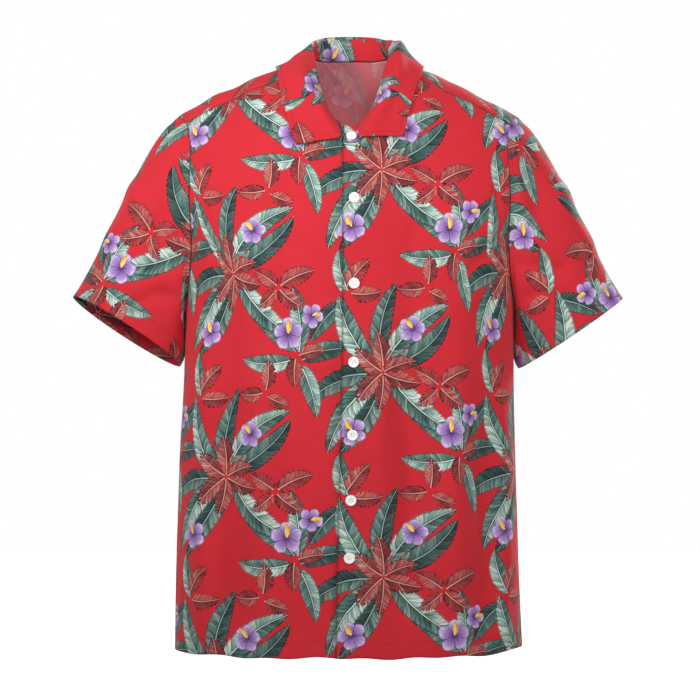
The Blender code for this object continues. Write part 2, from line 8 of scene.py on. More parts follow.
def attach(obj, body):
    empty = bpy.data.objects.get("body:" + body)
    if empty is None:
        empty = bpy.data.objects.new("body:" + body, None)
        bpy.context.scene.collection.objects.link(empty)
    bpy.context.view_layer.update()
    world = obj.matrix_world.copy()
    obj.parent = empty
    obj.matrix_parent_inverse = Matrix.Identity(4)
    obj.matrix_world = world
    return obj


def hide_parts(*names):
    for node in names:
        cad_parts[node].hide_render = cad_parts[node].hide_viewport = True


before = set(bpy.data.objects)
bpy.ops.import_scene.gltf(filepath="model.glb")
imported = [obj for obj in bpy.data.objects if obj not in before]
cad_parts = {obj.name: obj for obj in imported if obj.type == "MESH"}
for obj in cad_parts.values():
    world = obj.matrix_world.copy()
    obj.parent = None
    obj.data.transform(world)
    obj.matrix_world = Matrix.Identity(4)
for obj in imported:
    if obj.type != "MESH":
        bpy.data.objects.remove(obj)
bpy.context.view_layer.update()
print("frame loaded:", len(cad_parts), "nodes")

# The shirt's form repeats the panels' own rules and sizes, so every piece lies where its solid does.
# Metres, with the rows of tables in mm. +Z is up, the front faces -Y and +X is the wearer's left.
bodyForm = {
    "hemHeight": -0.727,
    "frontDepth": 0.115,
    "backDepth": 0.110,
    "squareness": 2.5,  # of the section, 2 is an ellipse
    "topHalfWidth": 0.222,
    "frontRoll": (0.357, 0.110),  # height over which it rounds back, at the neck and at the shoulder's end
    "backRoll": (0.180, 0.110),
    "seamFall": 0.018,  # the shoulder seam lies this far below the ridge, on the front
    "halfWidths": (
        # z, wearer's right, wearer's left
        (-727, 220.5, 216.7),
        (-610, 218, 211.7),
        (-484, 213.6, 207.3),
        (-378, 208, 205.5),
        (-305, 207.2, 206.5),
        (-250, 210, 210),
        (-205, 214, 214),
        (-155, 219, 219),
        (-80, 222, 222),
        (60, 222, 222),
    ),
    "ridge": (
        # distance from the middle, z on the wearer's right and left; the first row rounds the middle off
        (-30, 41, 41),
        (0, 51, 51),
        (30, 41, 41),
        (46, 29, 29),
        (62, 16, 16),
        (93, 0, 0),
        (104, -4.3, -4.5),
        (125, -12.7, -15.4),
        (144, -22.8, -23.6),
        (171, -32.7, -38.3),
        (189, -42.8, -47.6),
        (207, -53.1, -57.1),
        (222, -63.2, -66.5),
    ),
}


def hermite(start, end, leave, arrive, t):
    # from start at t = 0 to end at t = 1, with the slopes that it leaves and arrives with
    return (
        start * (1 + 2 * t) * (1 - t) ** 2
        + end * t**2 * (3 - 2 * t)
        + leave * t * (1 - t) ** 2
        + arrive * t**2 * (t - 1)
    )


def smooth(rows, at):
    # rows of a table at fractional row numbers, through every row without corners
    rows = np.asarray(rows, float)
    flat = rows.reshape(len(rows), -1)
    at = np.clip(np.asarray(at, float), 0, len(rows) - 1)
    low = np.minimum(at.astype(int), len(rows) - 2)
    slope = np.gradient(flat, axis=0)
    found = hermite(flat[low], flat[low + 1], slope[low], slope[low + 1], (at - low)[..., None])
    return found.reshape(at.shape + rows.shape[1:])


def read(table, value, column):
    # one column of a table, smoothly, at a value of its first column
    keys, values = np.array(table)[:, (0, column)].T / 1000
    value = np.clip(value, keys[0], keys[-1])
    slope = np.gradient(values, keys)
    low = np.clip(np.searchsorted(keys, value) - 1, 0, len(keys) - 2)
    span = keys[low + 1] - keys[low]
    part = (value - keys[low]) / span
    return hermite(values[low], values[low + 1], slope[low] * span, slope[low + 1] * span, part)


def readSided(table, x, value):
    # from the column of the wearer's right or left
    return np.where(x < 0, read(table, value, 1), read(table, value, 2))


def together(*parts):
    # values side by side in one more axis, such as x, y and z of points
    return np.stack(np.broadcast_arrays(*parts), axis=-1)


def unit(vectors):
    return vectors / np.maximum(np.linalg.norm(vectors, axis=-1, keepdims=True), 1e-12)


def lengths(points, axis):
    # distances walked along the grid's rows or columns from its first point
    step = np.linalg.norm(np.diff(points, axis=axis), axis=-1)
    pad = ((1, 0), (0, 0)) if axis == 0 else ((0, 0), (1, 0))
    return np.pad(np.cumsum(step, axis=axis), pad)


def ease(value, start, end):
    part = np.clip((value - start) / (end - start), 0, 1)
    return part**2 * (3 - 2 * part)


# The body is read by an angle round it (0 at the wearer's left side, 90 degrees at the middle, 180 at the
# right) and a reach over it (0 on the ridge, 1 at full depth, 2 at the hem; minus on the front).
def across(angle):
    return np.sign(np.cos(angle)) * np.abs(np.cos(angle)) ** (2 / bodyForm["squareness"])


def depthShare(angle):
    return np.abs(np.sin(angle)) ** (2 / bodyForm["squareness"])


def angleAt(x):
    share = np.clip(np.asarray(x) / bodyForm["topHalfWidth"], -1, 1)
    return np.arccos(np.sign(share) * np.abs(share) ** (bodyForm["squareness"] / 2))


def halfWidthAt(x, z):
    return readSided(bodyForm["halfWidths"], x, z)


def ridgeAndRoll(angle, front):
    x = across(angle) * bodyForm["topHalfWidth"]
    neck, tip = (np.where(front, *pair) for pair in zip(bodyForm["frontRoll"], bodyForm["backRoll"]))
    return readSided(bodyForm["ridge"], x, np.abs(x)), neck + (tip - neck) * across(angle) ** 2


def body(angle, reach):
    angle, reach = np.broadcast_arrays(angle, reach)
    front = reach < 0
    ridge, roll = ridgeAndRoll(angle, front)
    turn = np.minimum(np.abs(reach), 1) * math.pi / 2
    below = np.maximum(np.abs(reach) - 1, 0)
    z = ridge - roll * (1 - np.cos(turn)) + below * (bodyForm["hemHeight"] - ridge + roll)
    depth = np.where(front, -bodyForm["frontDepth"], bodyForm["backDepth"])
    x = halfWidthAt(across(angle), z) * across(angle)
    return together(x, depth * depthShare(angle) * np.sin(turn), z)


def reachAtHeight(angle, z, front):
    ridge, roll = ridgeAndRoll(angle, front)
    full = ridge - roll
    rolling = np.arccos(np.clip(1 - (ridge - z) / roll, -1, 1)) / (math.pi / 2)
    reach = np.where(z > full, rolling, 1 + (full - z) / (full - bodyForm["hemHeight"]))
    return np.where(front, -reach, reach)


def reachAtDepth(angle, y):
    depth = np.where(y < 0, bodyForm["frontDepth"], bodyForm["backDepth"]) * depthShare(angle)
    return np.arcsin(np.clip(y / depth, -1, 1)) / (math.pi / 2)


def bodyNormals(angle, reach):
    step = 1e-4
    along = body(angle + step, reach) - body(angle - step, reach)
    down = body(angle, reach + step) - body(angle, reach - step)
    return unit(np.cross(down, along))


def frontDepthAt(x, z):
    angle = angleAt(np.clip(x / halfWidthAt(x, z), -0.999, 0.999) * bodyForm["topHalfWidth"])
    ridge, roll = ridgeAndRoll(angle, True)
    left = np.clip(1 - (ridge - z) / roll, 0, 1)
    return bodyForm["frontDepth"] * depthShare(angle) * np.sqrt(1 - left**2)


panelForm = {
    "armpitHeight": -0.305,
    "shoulderTipHeight": -0.060,
    "armholeHalfDepth": 0.060,
    "armholeSquareness": 2.3,
    "lap": 0.0020,  # how far the left front stands out over the right one
    "lapWidth": 0.0147,  # each front reaches this far past the line of buttons
    "lapRamp": (0.0180, 0.0600),  # it comes down to the body between these distances from the line
    "frontCells": (10, 6, 11, 12),  # columns under neck and shoulder, rows beside side seam and armhole
    "backCells": (7, 6, 10, 6, 8),  # the same for half the back, with the last rows over the shoulder
    "backTopTurn": math.radians(148),
    "fineFront": 9,  # small faces along each of those cells
    "fineBack": 8,
    "relaxingSteps": 400,
    "metresPerStep": (0.19, 0.36),
    "centreLine": (
        # z, x of the line of buttons
        (-727, -3),
        (-600, -0.8),
        (-530, 1.2),
        (-450, 3.2),
        (-360, 4.4),
        (100, 4.4),
    ),
}

collarForm = {
    "rows": (
        # from the middle of the back: neck x, y, top x, y, z
        (0, 64, 0, 66, 47),
        (28, 57, 27, 59, 45),
        (46, 40, 40, 45, 40),
        (60, 20, 47, 24, 33),
        (71, 0, 49, 2, 22),
        (69, -24, 48, -16, 10),
        (61, -48, 45, -32, -9),
        (47, -69, 37, -49, -38),
        (28, -85, 24, -65, -65),
        (14, -92.5, 12, -72, -77),
        (0, -94, 0, -74, -78),
    ),
    "leafEdge": (
        # wearer's right x, y, z, wearer's left x, y, z
        (0, 80, 1, 0, 80, 1),
        (30, 75, 0, 30, 75, 0),
        (60, 58, -1, 60, 58, -1),
        (82, 30, 2, 81, 30, 3),
        (92, 0, 1, 91, 0, 3),
        (90, -30, -8, 88.5, -30, -12),
        (86, -54, -33, 78, -58, -41),
        (80, -70, -55, 73.5, -70, -56),
        (73.5, -83, -83, 68.5, -80, -77),
        (66, -91, -102, 67.4, -87, -91),
    ),
    "firstSideRow": 4,
    "centreFront": 10,
    "pastMiddle": 3,
    "leafEnd": 9,
    "lapRows": (6, 9),
    "standUnder": 1.36,  # rows that the stand's two ends go past the middle of the front
    "standOver": 0.60,
    "standLift": 0.0006,
    "standBow": 0.0008,
    "leafClearance": 0.0038,
    "leafStitch": 0.006,
    "leafLift": 0.0020,
    "leafAhead": (0.010, 0.035),
    "leafStart": 0.0004,  # in and up from the stand's top
    "foldOut": (0.0043, 0.0022),  # from the stand's top out to the fold, at the back and at the front
    "foldUp": 0.0035,  # and up to it
    "forwardRows": (2, 8),
    "neckRise": (0.45, 0.0),
    "neckAway": (0.0072, 0.0072),
    "puffRows": (0.9, 3.7, 4.2, 6.5),  # where it stands out at the wearer's left shoulder, and where it drops
    "dropRows": (2.6, 4.0, 4.2, 6.5),
    "puff": (0.0075, -0.0085, 0.0118, 0.0078),  # of the fold out and up, and below it out and up
    "standCells": (200, 16),
    "leafCells": (240, 44),
    "printShift": {"stand": (0.130, 0.050), "leaf": (0.150, 0.200)},
}


def armhole(side, turns):
    # -90 degrees at the armpit, 0 on the front, 90 at the shoulder and 180 on the back
    power = 2 / panelForm["armholeSquareness"]
    cosine, sine = np.cos(turns), np.sin(turns)
    top, bottom = panelForm["shoulderTipHeight"], panelForm["armpitHeight"]
    y = -panelForm["armholeHalfDepth"] * np.sign(cosine) * np.abs(cosine) ** power
    z = (top + bottom) / 2 + (top - bottom) / 2 * np.sign(sine) * np.abs(sine) ** power
    low, high = np.zeros_like(y), np.full_like(y, math.pi / 2)
    for _ in range(50):
        fromSide = (low + high) / 2
        angle = fromSide if side > 0 else math.pi - fromSide
        short = np.abs(body(angle, reachAtHeight(angle, z, y < 0))[..., 1]) < np.maximum(np.abs(y), 1e-6)
        low, high = np.where(short, fromSide, low), np.where(short, high, fromSide)
    return np.stack([angle, reachAtHeight(angle, z, y < 0)], axis=-1)


def collar(position):
    # neck and stand top in one loop, at rows from the middle of the back, minus on the wearer's right
    left = np.array(collarForm["rows"]) / 1000
    right = left[:0:-1] * (-1, 1, -1, 1, 1)
    past = collarForm["pastMiddle"]
    loop = np.concatenate([left[-1 - past : -1], right, left[:-1], right[: past + 1]])
    return smooth(loop, position + collarForm["centreFront"] + past)


# Edges of the panels are rows of (angle, reach) pairs
def neckline(position):
    rows = collar(position)
    angle = angleAt(rows[..., 0])
    return together(angle, reachAtDepth(angle, rows[..., 1]))


def atSeam(edge, positions):
    # the position on an edge where the shoulder seam meets it
    fall = ridgeAndRoll(edge[:, 0], True)[0] - body(*edge.T)[:, 2]
    return np.interp(bodyForm["seamFall"], fall, positions)


def neckAtSeam(side):
    position = np.linspace(collarForm["firstSideRow"], collarForm["centreFront"], 1200)
    return atSeam(neckline(side * position), position)


def armholeAtSeam(side):
    turns = np.linspace(math.pi / 2, 0, 1200)
    return atSeam(armhole(side, turns), turns)


def joined(*pieces):
    return np.concatenate([pieces[0]] + [piece[1:] for piece in pieces[1:]])


def evenly(edge, count, values=None):
    # an edge, or values along it, cut into even lengths of cloth
    length = np.linalg.norm(np.diff(body(*edge.T), axis=0), axis=1)
    length = np.concatenate([[0], np.cumsum(length)])
    at = np.linspace(0, length[-1], count + 1)
    if values is not None:
        return np.interp(at, length, values)
    return together(*(np.interp(at, length, column) for column in edge.T))


def armTurns(side, fine):
    cells, top, seam = panelForm["backCells"], panelForm["backTopTurn"], armholeAtSeam(side)
    stretches = (
        (-math.pi / 2, seam, panelForm["frontCells"][3]),
        (1.5 * math.pi, top, cells[3]),
        (top, seam, cells[4]),
    )
    found = []
    for first, last, count in stretches:
        turns = np.linspace(first, last, 600)
        found.append(evenly(armhole(side, turns), count * fine, turns))
    return found[0], joined(*found[1:])


def shoulderSeam(side):
    outer = across(armhole(side, np.array([armholeAtSeam(side)]))[0, 0])
    inner = across(neckline(np.array([side * neckAtSeam(side)]))[0, 0])
    angle = angleAt(np.linspace(outer, inner, 400) * bodyForm["topHalfWidth"])
    roll = ridgeAndRoll(angle, True)[1]
    return together(angle, -np.arccos(1 - bodyForm["seamFall"] / roll) / (math.pi / 2))


def coons(bottom, top, left, right):
    # a grid spanned between four edges
    u = np.linspace(0, 1, len(bottom))[None, :, None]
    v = np.linspace(0, 1, len(left))[:, None, None]
    sides = (1 - v) * bottom + v * top + (1 - u) * left[:, None] + u * right[:, None]
    low = (1 - u) * bottom[0] + u * bottom[-1]
    high = (1 - u) * top[0] + u * top[-1]
    return sides - (1 - v) * low - v * high


def patch(bottom, top, left, right, fine):
    # an even coarse grid that never folds, filled in smoothly and then fitted to the exact edges
    scale = np.array(panelForm["metresPerStep"])
    grid = coons(bottom[::fine], top[::fine], left[::fine], right[::fine]) * scale
    for _ in range(panelForm["relaxingSteps"]):
        before, after = grid[1:-1, :-2], grid[1:-1, 2:]
        below, above = grid[:-2, 1:-1], grid[2:, 1:-1]
        corners = (grid[2:, 2:] - grid[2:, :-2] - grid[:-2, 2:] + grid[:-2, :-2]) / 4
        along, up = (after - before) / 2, (above - below) / 2
        wide, high = ((step**2).sum(axis=-1, keepdims=True) for step in (along, up))
        skew = (along * up).sum(axis=-1, keepdims=True)
        moved = high * (before + after) + wide * (below + above) - 2 * skew * corners
        grid[1:-1, 1:-1] = moved / (2 * (wide + high))
    grid = smooth(grid / scale, np.arange(len(left)) / fine).swapaxes(0, 1)
    grid = smooth(grid, np.arange(len(bottom)) / fine).swapaxes(0, 1)
    return grid + coons(bottom - grid[0], top - grid[-1], left - grid[:, 0], right - grid[:, -1])


def sideSeam(side, end, rows):
    angle = 1e-5 if side > 0 else math.pi - 1e-5
    return evenly(together(angle, np.linspace(math.copysign(2, end), end, 400)), rows)


def hemEdge(first, last, reach, count):
    return evenly(together(np.linspace(first, last, 600), reach), count)


def frontGrid(side):
    # from the centre edge to the side seam and from the hem up
    fine = panelForm["fineFront"]
    neckCount, shoulderCount, sideCount, armCount = (count * fine for count in panelForm["frontCells"])
    lap = -side * panelForm["lapWidth"]
    line = neckline(side * np.linspace(neckAtSeam(side), collarForm["centreFront"] + 2, 1200))
    points = body(*line.T)
    line = line[side * (points[:, 0] - read(panelForm["centreLine"], points[:, 2], 1) - lap) >= 0]
    reach = np.linspace(-2, line[-1, 1], 400)
    z = body(math.pi / 2, reach)[:, 2]
    x = (read(panelForm["centreLine"], z, 1) + lap) / read(bodyForm["halfWidths"], z, 2)
    centre = together(angleAt(x * bodyForm["topHalfWidth"]), reach)
    centre[-1] = line[-1]
    arm = armhole(side, armTurns(side, fine)[0])
    seam = shoulderSeam(side)
    seam[0], seam[-1] = arm[-1], line[0]
    upSide = sideSeam(side, arm[0, 1], sideCount)
    arm[0] = upSide[-1]
    bottom = hemEdge(centre[0, 0], upSide[0, 0], -2, neckCount + shoulderCount)
    top = joined(evenly(line[::-1], neckCount), evenly(seam[::-1], shoulderCount))
    return patch(bottom, top, evenly(centre, sideCount + armCount), joined(upSide, arm), fine)


def backGrid():
    # from the wearer's left to the right and from the hem up
    fine = panelForm["fineBack"]
    neckCount, shoulderCount, sideCount = (count * fine for count in panelForm["backCells"][:3])
    sides, tops = {}, {}
    for side in (1, -1):
        arm = armhole(side, armTurns(side, fine)[1])
        upSide = sideSeam(side, arm[0, 1], sideCount)
        arm[0] = upSide[-1]
        line = neckline(side * np.linspace(neckAtSeam(side), 0, 1200))
        seam = shoulderSeam(side)
        seam[0], seam[-1] = arm[-1], line[0]
        sides[side] = joined(upSide, arm)
        tops[side] = joined(evenly(seam, shoulderCount), evenly(line, neckCount))
    bottom = hemEdge(sides[1][0, 0], sides[-1][0, 0], 2, 2 * (neckCount + shoulderCount))
    return patch(bottom, joined(tops[1], tops[-1][::-1]), sides[1], sides[-1], fine)


def clothPlaces(grid):
    # where each point lies on the flat cloth: across from the middle and up from the hem, in metres
    columns, rows, short = 180, 120, 1e-3
    front = grid[..., 1].mean() < 0
    reaches = np.linspace(0, 2, rows + 1) * (-1 if front else 1)
    points = body(np.linspace(0, math.pi, columns + 1)[:, None], reaches)
    along, up = lengths(points, 0), lengths(points, 1)
    along -= along[columns // 2]
    up = up[:, -1:] - up
    column = np.clip(grid[..., 0] / math.pi * columns, 0, columns - short)
    row = np.clip(grid[..., 1] / reaches[-1] * rows, 0, rows - short)
    over = (np.sign(grid[..., 1]) != np.sign(reaches[-1])) * np.abs(grid[..., 1]) / 2 * rows
    low, left = row.astype(int), column.astype(int)
    a, b = (column - left)[..., None], (row - low)[..., None]
    both = together(-along if front else along, up)
    found = (both[left, low] * (1 - a) + both[left + 1, low] * a) * (1 - b)
    found += (both[left, low + 1] * (1 - a) + both[left + 1, low + 1] * a) * b
    found[..., 1] += over * (up[:, 0] - up[:, 1])[left]  # the part of the back that comes over the shoulder
    return found


printDesign = {
    "repeat": (0.206, 0.248),  # metres across and up the cloth; each next column drops by half of it
    # each screen of the print: rows of x, y, turn in degrees, length, half width in mm, bend in degrees
    "backLeaves": (
        (76, 134, 12, 106, 13.8, 50),
        (64, 139, 98, 99, 14.3, -42),
        (56, 122, 172, 92, 13.8, 56),
        (66, 116, 252, 106, 14.3, -26),
        (164, 30, 128, 76, 12.7, 36),
        (172, 20, 30, 69, 12.1, -38),
        (18, 214, 214, 64, 11.6, 30),
    ),
    "frontLeaves": (
        (72, 140, 58, 111, 14.9, -40),
        (57, 132, 138, 104, 14.3, -44),
        (58, 116, 214, 106, 14.9, 42),
        (77, 120, 304, 111, 15.4, 34),
        (168, 30, 82, 81, 12.7, 30),
        (160, 20, 196, 72, 12.1, -34),
        (170, 14, 300, 68, 11.6, -24),
        (24, 224, 116, 56, 11.0, -28),
    ),
    "rustLeaves": (
        (67, 127, 88, 50, 13.0, 22),
        (68, 126, 28, 45, 12.0, -22),
        (68, 124, 334, 50, 12.5, 24),
        (67, 123, 272, 45, 12.0, -20),
        (66, 124, 216, 48, 12.5, 24),
        (66, 126, 152, 45, 12.0, -26),
        (143, 110, 38, 49, 12.5, -30),
        (142, 106, 312, 40, 11.4, 26),
        (139, 110, 140, 38, 10.9, 22),
        (138, 105, 228, 34, 9.9, -24),
        (22, 228, 62, 45, 12.0, -24),
        (27, 221, 350, 40, 10.9, 28),
        (164, 22, 260, 36, 10.9, 20),
        (168, 26, 20, 34, 10.4, -20),
        (122, 228, 196, 36, 10.4, -30),
        (126, 232, 76, 38, 10.9, 24),
        (128, 224, 330, 32, 9.4, 20),
    ),
    # x, y, turn, radius
    "flowers": (
        (154, 52, 20, 20),
        (184, 74, 62, 15),
        (106, 178, 8, 17),
        (28, 54, 40, 18),
    ),
    "hearts": (
        (154, 52, 74, 19, 3.2, 40),
        (184, 74, 20, 15, 2.7, -40),
        (106, 178, 118, 17, 2.9, 30),
        (28, 54, 128, 17, 3.0, -30),
    ),
}

# How each screen is drawn: veins on a leaf's length and how far they sweep to its tip, how deep and how
# sharply its edge is torn between them, its rib and dark outline, and how much its shades are lifted
screenLooks = {
    "backLeaves": {
        "veins": 15, "sweep": 0.13, "split": 0.75, "tear": 7, "rib": 0.070, "outline": 0.11, "lift": 0.26,
        "inks": ((0.0, "#0e181a"), (0.3, "#22383a"), (0.56, "#3f5d59"), (0.8, "#74938a"), (1.0, "#b9cdc0")),
    },
    "frontLeaves": {
        "veins": 16, "sweep": 0.14, "split": 0.7, "tear": 7, "rib": 0.065, "outline": 0.10, "lift": 0.34,
        "inks": ((0.0, "#111d1f"), (0.28, "#2b4543"), (0.5, "#52756d"), (0.72, "#95b1a6"), (0.95, "#e0eae0")),
    },
    "rustLeaves": {
        "veins": 8, "sweep": 0.30, "split": 1.15, "tear": 3.2, "rib": 0.080, "outline": 0.15, "lift": 0.28,
        "inks": ((0.0, "#340f13"), (0.3, "#762a2e"), (0.58, "#a04648"), (0.82, "#cb786c"), (1.0, "#eec9b0")),
    },
    "hearts": {
        "veins": 5, "sweep": 0.0, "split": 0.1, "tear": 4, "rib": 0.30, "outline": 0.22, "lift": 0.55,
        "inks": ((0.0, "#8a4a1c"), (0.3, "#d9902c"), (0.6, "#e8bc3c"), (1.0, "#f7e27a")),
    },
}

# Of each mark's own length and half width, and shades from dark at 0 to pale at 1
bladeLook = {
    "stray": 0.07,  # how far veins wander, and how rough the edges are
    "fray": 0.16,
    "streaks": (5.0, 1.6, 3.0),  # brush marks across the veins, along them, and from leaf to leaf
    "ribTaper": 0.7,
    "ribShade": 0.88,
    "darkest": -0.42,
    "shades": (
        ("half", 0.12),
        ("chance", 0.26),
        ("saw", 0.18),
        ("wide", 0.22),
        ("brush", 0.75),
        ("nearRib", -0.30),
        ("outline", -0.34),
    ),
}

flowerLook = {
    "petals": 5,
    "open": 0.50,  # how far in the gaps between petals reach
    "roundness": 0.42,
    "stray": 0.30,
    "outline": 0.045,
    "gap": 0.10,
    "streaks": (9.0, 1.5, 3.0),
    "darkest": -0.32,
    "shades": (("radius", 0.95), ("brush", 0.85), ("gap", -0.45), ("outline", -0.40)),
    "inks": ((0.0, "#2a1838"), (0.22, "#5b3478"), (0.45, "#8f68ac"), (0.75, "#ad8cc6"), (1.0, "#d6c8e2")),
}

clothFinish = {
    "ground": ("#c3242f", "#cf2a35"),
    "wrongSide": "#f28e95",
    "showThrough": 0.30,  # share of the print's contrast that shows on the wrong side
    # waves in a metre of cloth, and detail
    "noises": {"straying": (70.0, 1.0), "fraying": (900.0, 1.0), "blend": (9.0, 2.0)},
    "thickness": 0.0008,
    "threadSpacing": 0.0009,  # real threads lie 0.25 mm apart, drawn coarser so that they show at all
    "creaseSize": 0.055,
    "seamWidth": 0.0018,
    "dipWidth": 0.004,  # the cloth dips to its seams over this distance
    "hemStitch": 0.020,
    "hemEdge": 0.0015,  # the turned-up cloth ends this far past its stitch line
    "stitchLength": 0.0024,
    "stitchShare": 0.62,  # of that length, the rest is between two stitches
    "stitchWidth": 0.0005,  # to each side of the stitch line
    "shadow": "#6e2a2e",  # painted shadow, laid over seams and stitches
    "seamShade": 0.17,
    "stitchShade": 0.24,
    "relief": (("threads", 0.00012), ("seam", 0.0006), ("crease", 0.0016), ("stitch", -0.0003)),
    "noEdge": 1.0,  # a distance at which no edge is near
}


def bladePlaces(at, row, number):
    # along the leaf from 0 to 1 plus its number, across it in half widths, and how far inside its edge
    x, y, turn, length, half, bend = row
    start, length, half = np.array([x, y]) / 1000, length / 1000, half / 1000
    turn, bend = math.radians(turn), math.radians(bend)
    radius = length / bend
    aside = np.array([-math.sin(turn), math.cos(turn)])
    q = at - (start + radius * aside)
    s = -math.copysign(1, radius) * aside
    swing = np.arctan2(s[0] * q[..., 1] - s[1] * q[..., 0], q @ s)
    along = swing * radius / length
    offset = (radius - math.copysign(1, radius) * np.linalg.norm(q, axis=-1)) / half
    inner = np.clip(along, 0, 1)
    profile = np.maximum(np.sin(math.pi * inner**0.8), 0) ** 0.62  # broadest a little before its middle
    edge = np.minimum(profile - np.abs(offset), np.minimum(along, 1 - along) * length / half)
    return together(number + np.clip(along, -0.4, 1.4), offset, edge)


def bladeMiddle(row):
    x, y, turn, length, _, bend = row
    heading = math.radians(turn + bend / 4)
    return np.array([x + length / 2 * math.cos(heading), y + length / 2 * math.sin(heading)]) / 1000


def flowerPlaces(at, row, number):
    x, y, turn, radius = row
    turn = math.radians(turn)
    spread = (at - np.array([x, y]) / 1000) * 1000 / radius
    u = spread[..., 0] * math.cos(turn) + spread[..., 1] * math.sin(turn)
    v = spread[..., 1] * math.cos(turn) - spread[..., 0] * math.sin(turn)
    return together(u, v, number)


def screenPlaces(corners, screen):
    # for each face, the places of its corners on the nearest leaf or flower of one screen
    width, height = printDesign["repeat"]
    centres = corners.mean(axis=1)
    best = np.full(len(corners), -np.inf)
    found = np.zeros(corners.shape[:2] + (3,))
    for number, row in enumerate(printDesign[screen]):
        middle = np.array(row[:2]) / 1000 if screen == "flowers" else bladeMiddle(row)
        column = np.round((centres[:, 0] - middle[0]) / width)
        line = np.round((centres[:, 1] - middle[1] - column * height / 2) / height)
        local = corners - together(column * width, column * height / 2 + line * height)[:, None]
        if screen == "flowers":
            places = flowerPlaces(local, row, number)
            inside = 1 - np.linalg.norm(places[..., :2].mean(axis=1), axis=-1)
        else:
            places = bladePlaces(local, row, number)
            inside = places[..., 2].mean(axis=1)
        nearer = inside > best
        found[nearer], best[nearer] = places[nearer], inside[nearer]
    return found


def linear(colour):
    # sRGB hex turned to the linear values that shaders take
    parts = [int(colour[k : k + 2], 16) / 255 for k in (1, 3, 5)]
    return [part / 12.92 if part <= 0.04045 else ((part + 0.055) / 1.055) ** 2.4 for part in parts] + [1.0]


def add(tree, kind, settings=None, inputs=None):
    # one node with its settings; an input that is another node's output is linked, any other is a fixed value
    made = tree.nodes.new("ShaderNode" + kind)
    for key, value in (settings or {}).items():
        if key == "stops":
            ramp = made.color_ramp.elements
            while len(ramp) < len(value):
                ramp.new(0.5)
            for element, (place, colour) in zip(ramp, value):
                element.position, element.color = place, linear(colour)
        else:
            setattr(made, key, value)
    for key, value in (inputs or {}).items():
        if isinstance(value, bpy.types.NodeSocket):
            tree.links.new(value, made.inputs[key])
        else:
            made.inputs[key].default_value = value
    return made


def addMath(tree, values, steps):
    # a run of sums: each row is a name, an operation, and its inputs as earlier names or fixed numbers
    for name, operation, *inputs in steps:
        linked = {k: values.get(part, part) for k, part in enumerate(inputs)}
        values[name] = add(tree, "Math", {"operation": operation}, linked).outputs[0]


def addWeighted(tree, values, total, weights):
    # each named value times its weight, one after another on top of the total
    for name, weight in weights:
        addMath(tree, values, (("sum", "MULTIPLY_ADD", name, weight, total),))
        total = values["sum"]
    return total


def readPlaces(tree, values, attribute, *names):
    # the three numbers that the mesh holds at each corner
    vector = add(tree, "Attribute", {"attribute_name": attribute}).outputs["Vector"]
    values.update(zip(names, add(tree, "SeparateXYZ", None, {0: vector}).outputs))


def brushMarks(tree, values, names, streaks):
    at = add(tree, "CombineXYZ", None, {k: values[name] for k, name in enumerate(names)}).outputs[0]
    at = add(tree, "VectorMath", {"operation": "MULTIPLY"}, {0: at, 1: streaks}).outputs[0]
    made = add(tree, "TexNoise", {"noise_dimensions": "3D"}, {"Vector": at, "Scale": 1.0, "Detail": 2.0})
    values["brush"] = made.outputs["Fac"]


def printOver(tree, values, colour, stops):
    # the ink of one screen, laid over what was printed before it
    ink = add(tree, "ValToRGB", {"stops": stops}, {0: values["shade"]}).outputs[0]
    return add(tree, "Mix", {"data_type": "RGBA"}, {0: values["inside"], 6: colour, 7: ink}).outputs[2]


def drawBlades(tree, colour, screen, shared):
    look, values = screenLooks[screen], dict(shared)
    readPlaces(tree, values, screen, "tagged", "aside", "edge")
    # veins sweep to the tip on both halves, and each has a number of its own to draw its chance by
    addMath(tree, values, (
        ("leaf", "FLOOR", "tagged"),
        ("along", "FRACT", "tagged"),
        ("wide", "ABSOLUTE", "aside"),
        ("half", "SIGN", "aside"),
        ("swept", "MULTIPLY_ADD", "wide", -look["sweep"], "along"),
        ("strayed", "MULTIPLY_ADD", "stray", bladeLook["stray"], "swept"),
        ("counted", "MULTIPLY", "strayed", look["veins"]),
        ("vein", "FLOOR", "counted"),
        ("saw", "FRACT", "counted"),
        ("sided", "MULTIPLY_ADD", "half", 0.37, "vein"),
        ("keyed", "MULTIPLY_ADD", "leaf", 31.7, "sided"),
    ))
    chance = add(tree, "TexWhiteNoise", {"noise_dimensions": "1D"}, {"W": values["keyed"]})
    values["chance"] = chance.outputs["Value"]
    brushMarks(tree, values, ("counted", "wide", "leaf"), bladeLook["streaks"])
    # the edge is torn in along the veins, and a rib that thins to the tip runs up the middle
    addMath(tree, values, (
        ("tear", "POWER", "saw", look["tear"]),
        ("torn", "MULTIPLY", "tear", "chance"),
        ("cut", "MULTIPLY_ADD", "torn", -look["split"], "edge"),
        ("frayed", "MULTIPLY_ADD", "fray", bladeLook["fray"], "cut"),
        ("inside", "GREATER_THAN", "frayed", 0.0),
        ("outline", "LESS_THAN", "frayed", look["outline"]),
        ("rib", "MULTIPLY_ADD", "along", -bladeLook["ribTaper"] * look["rib"], look["rib"]),
        ("onRib", "LESS_THAN", "wide", "rib"),
        ("besideRib", "SUBTRACT", "wide", "rib"),
        ("nearRib", "LESS_THAN", "besideRib", look["rib"]),
    ))
    values["drawn"] = addWeighted(tree, values, look["lift"] + bladeLook["darkest"], bladeLook["shades"])
    addMath(tree, values, (
        ("ribShade", "MULTIPLY", "onRib", bladeLook["ribShade"]),
        ("shade", "MAXIMUM", "drawn", "ribShade"),
    ))
    return printOver(tree, values, colour, look["inks"])


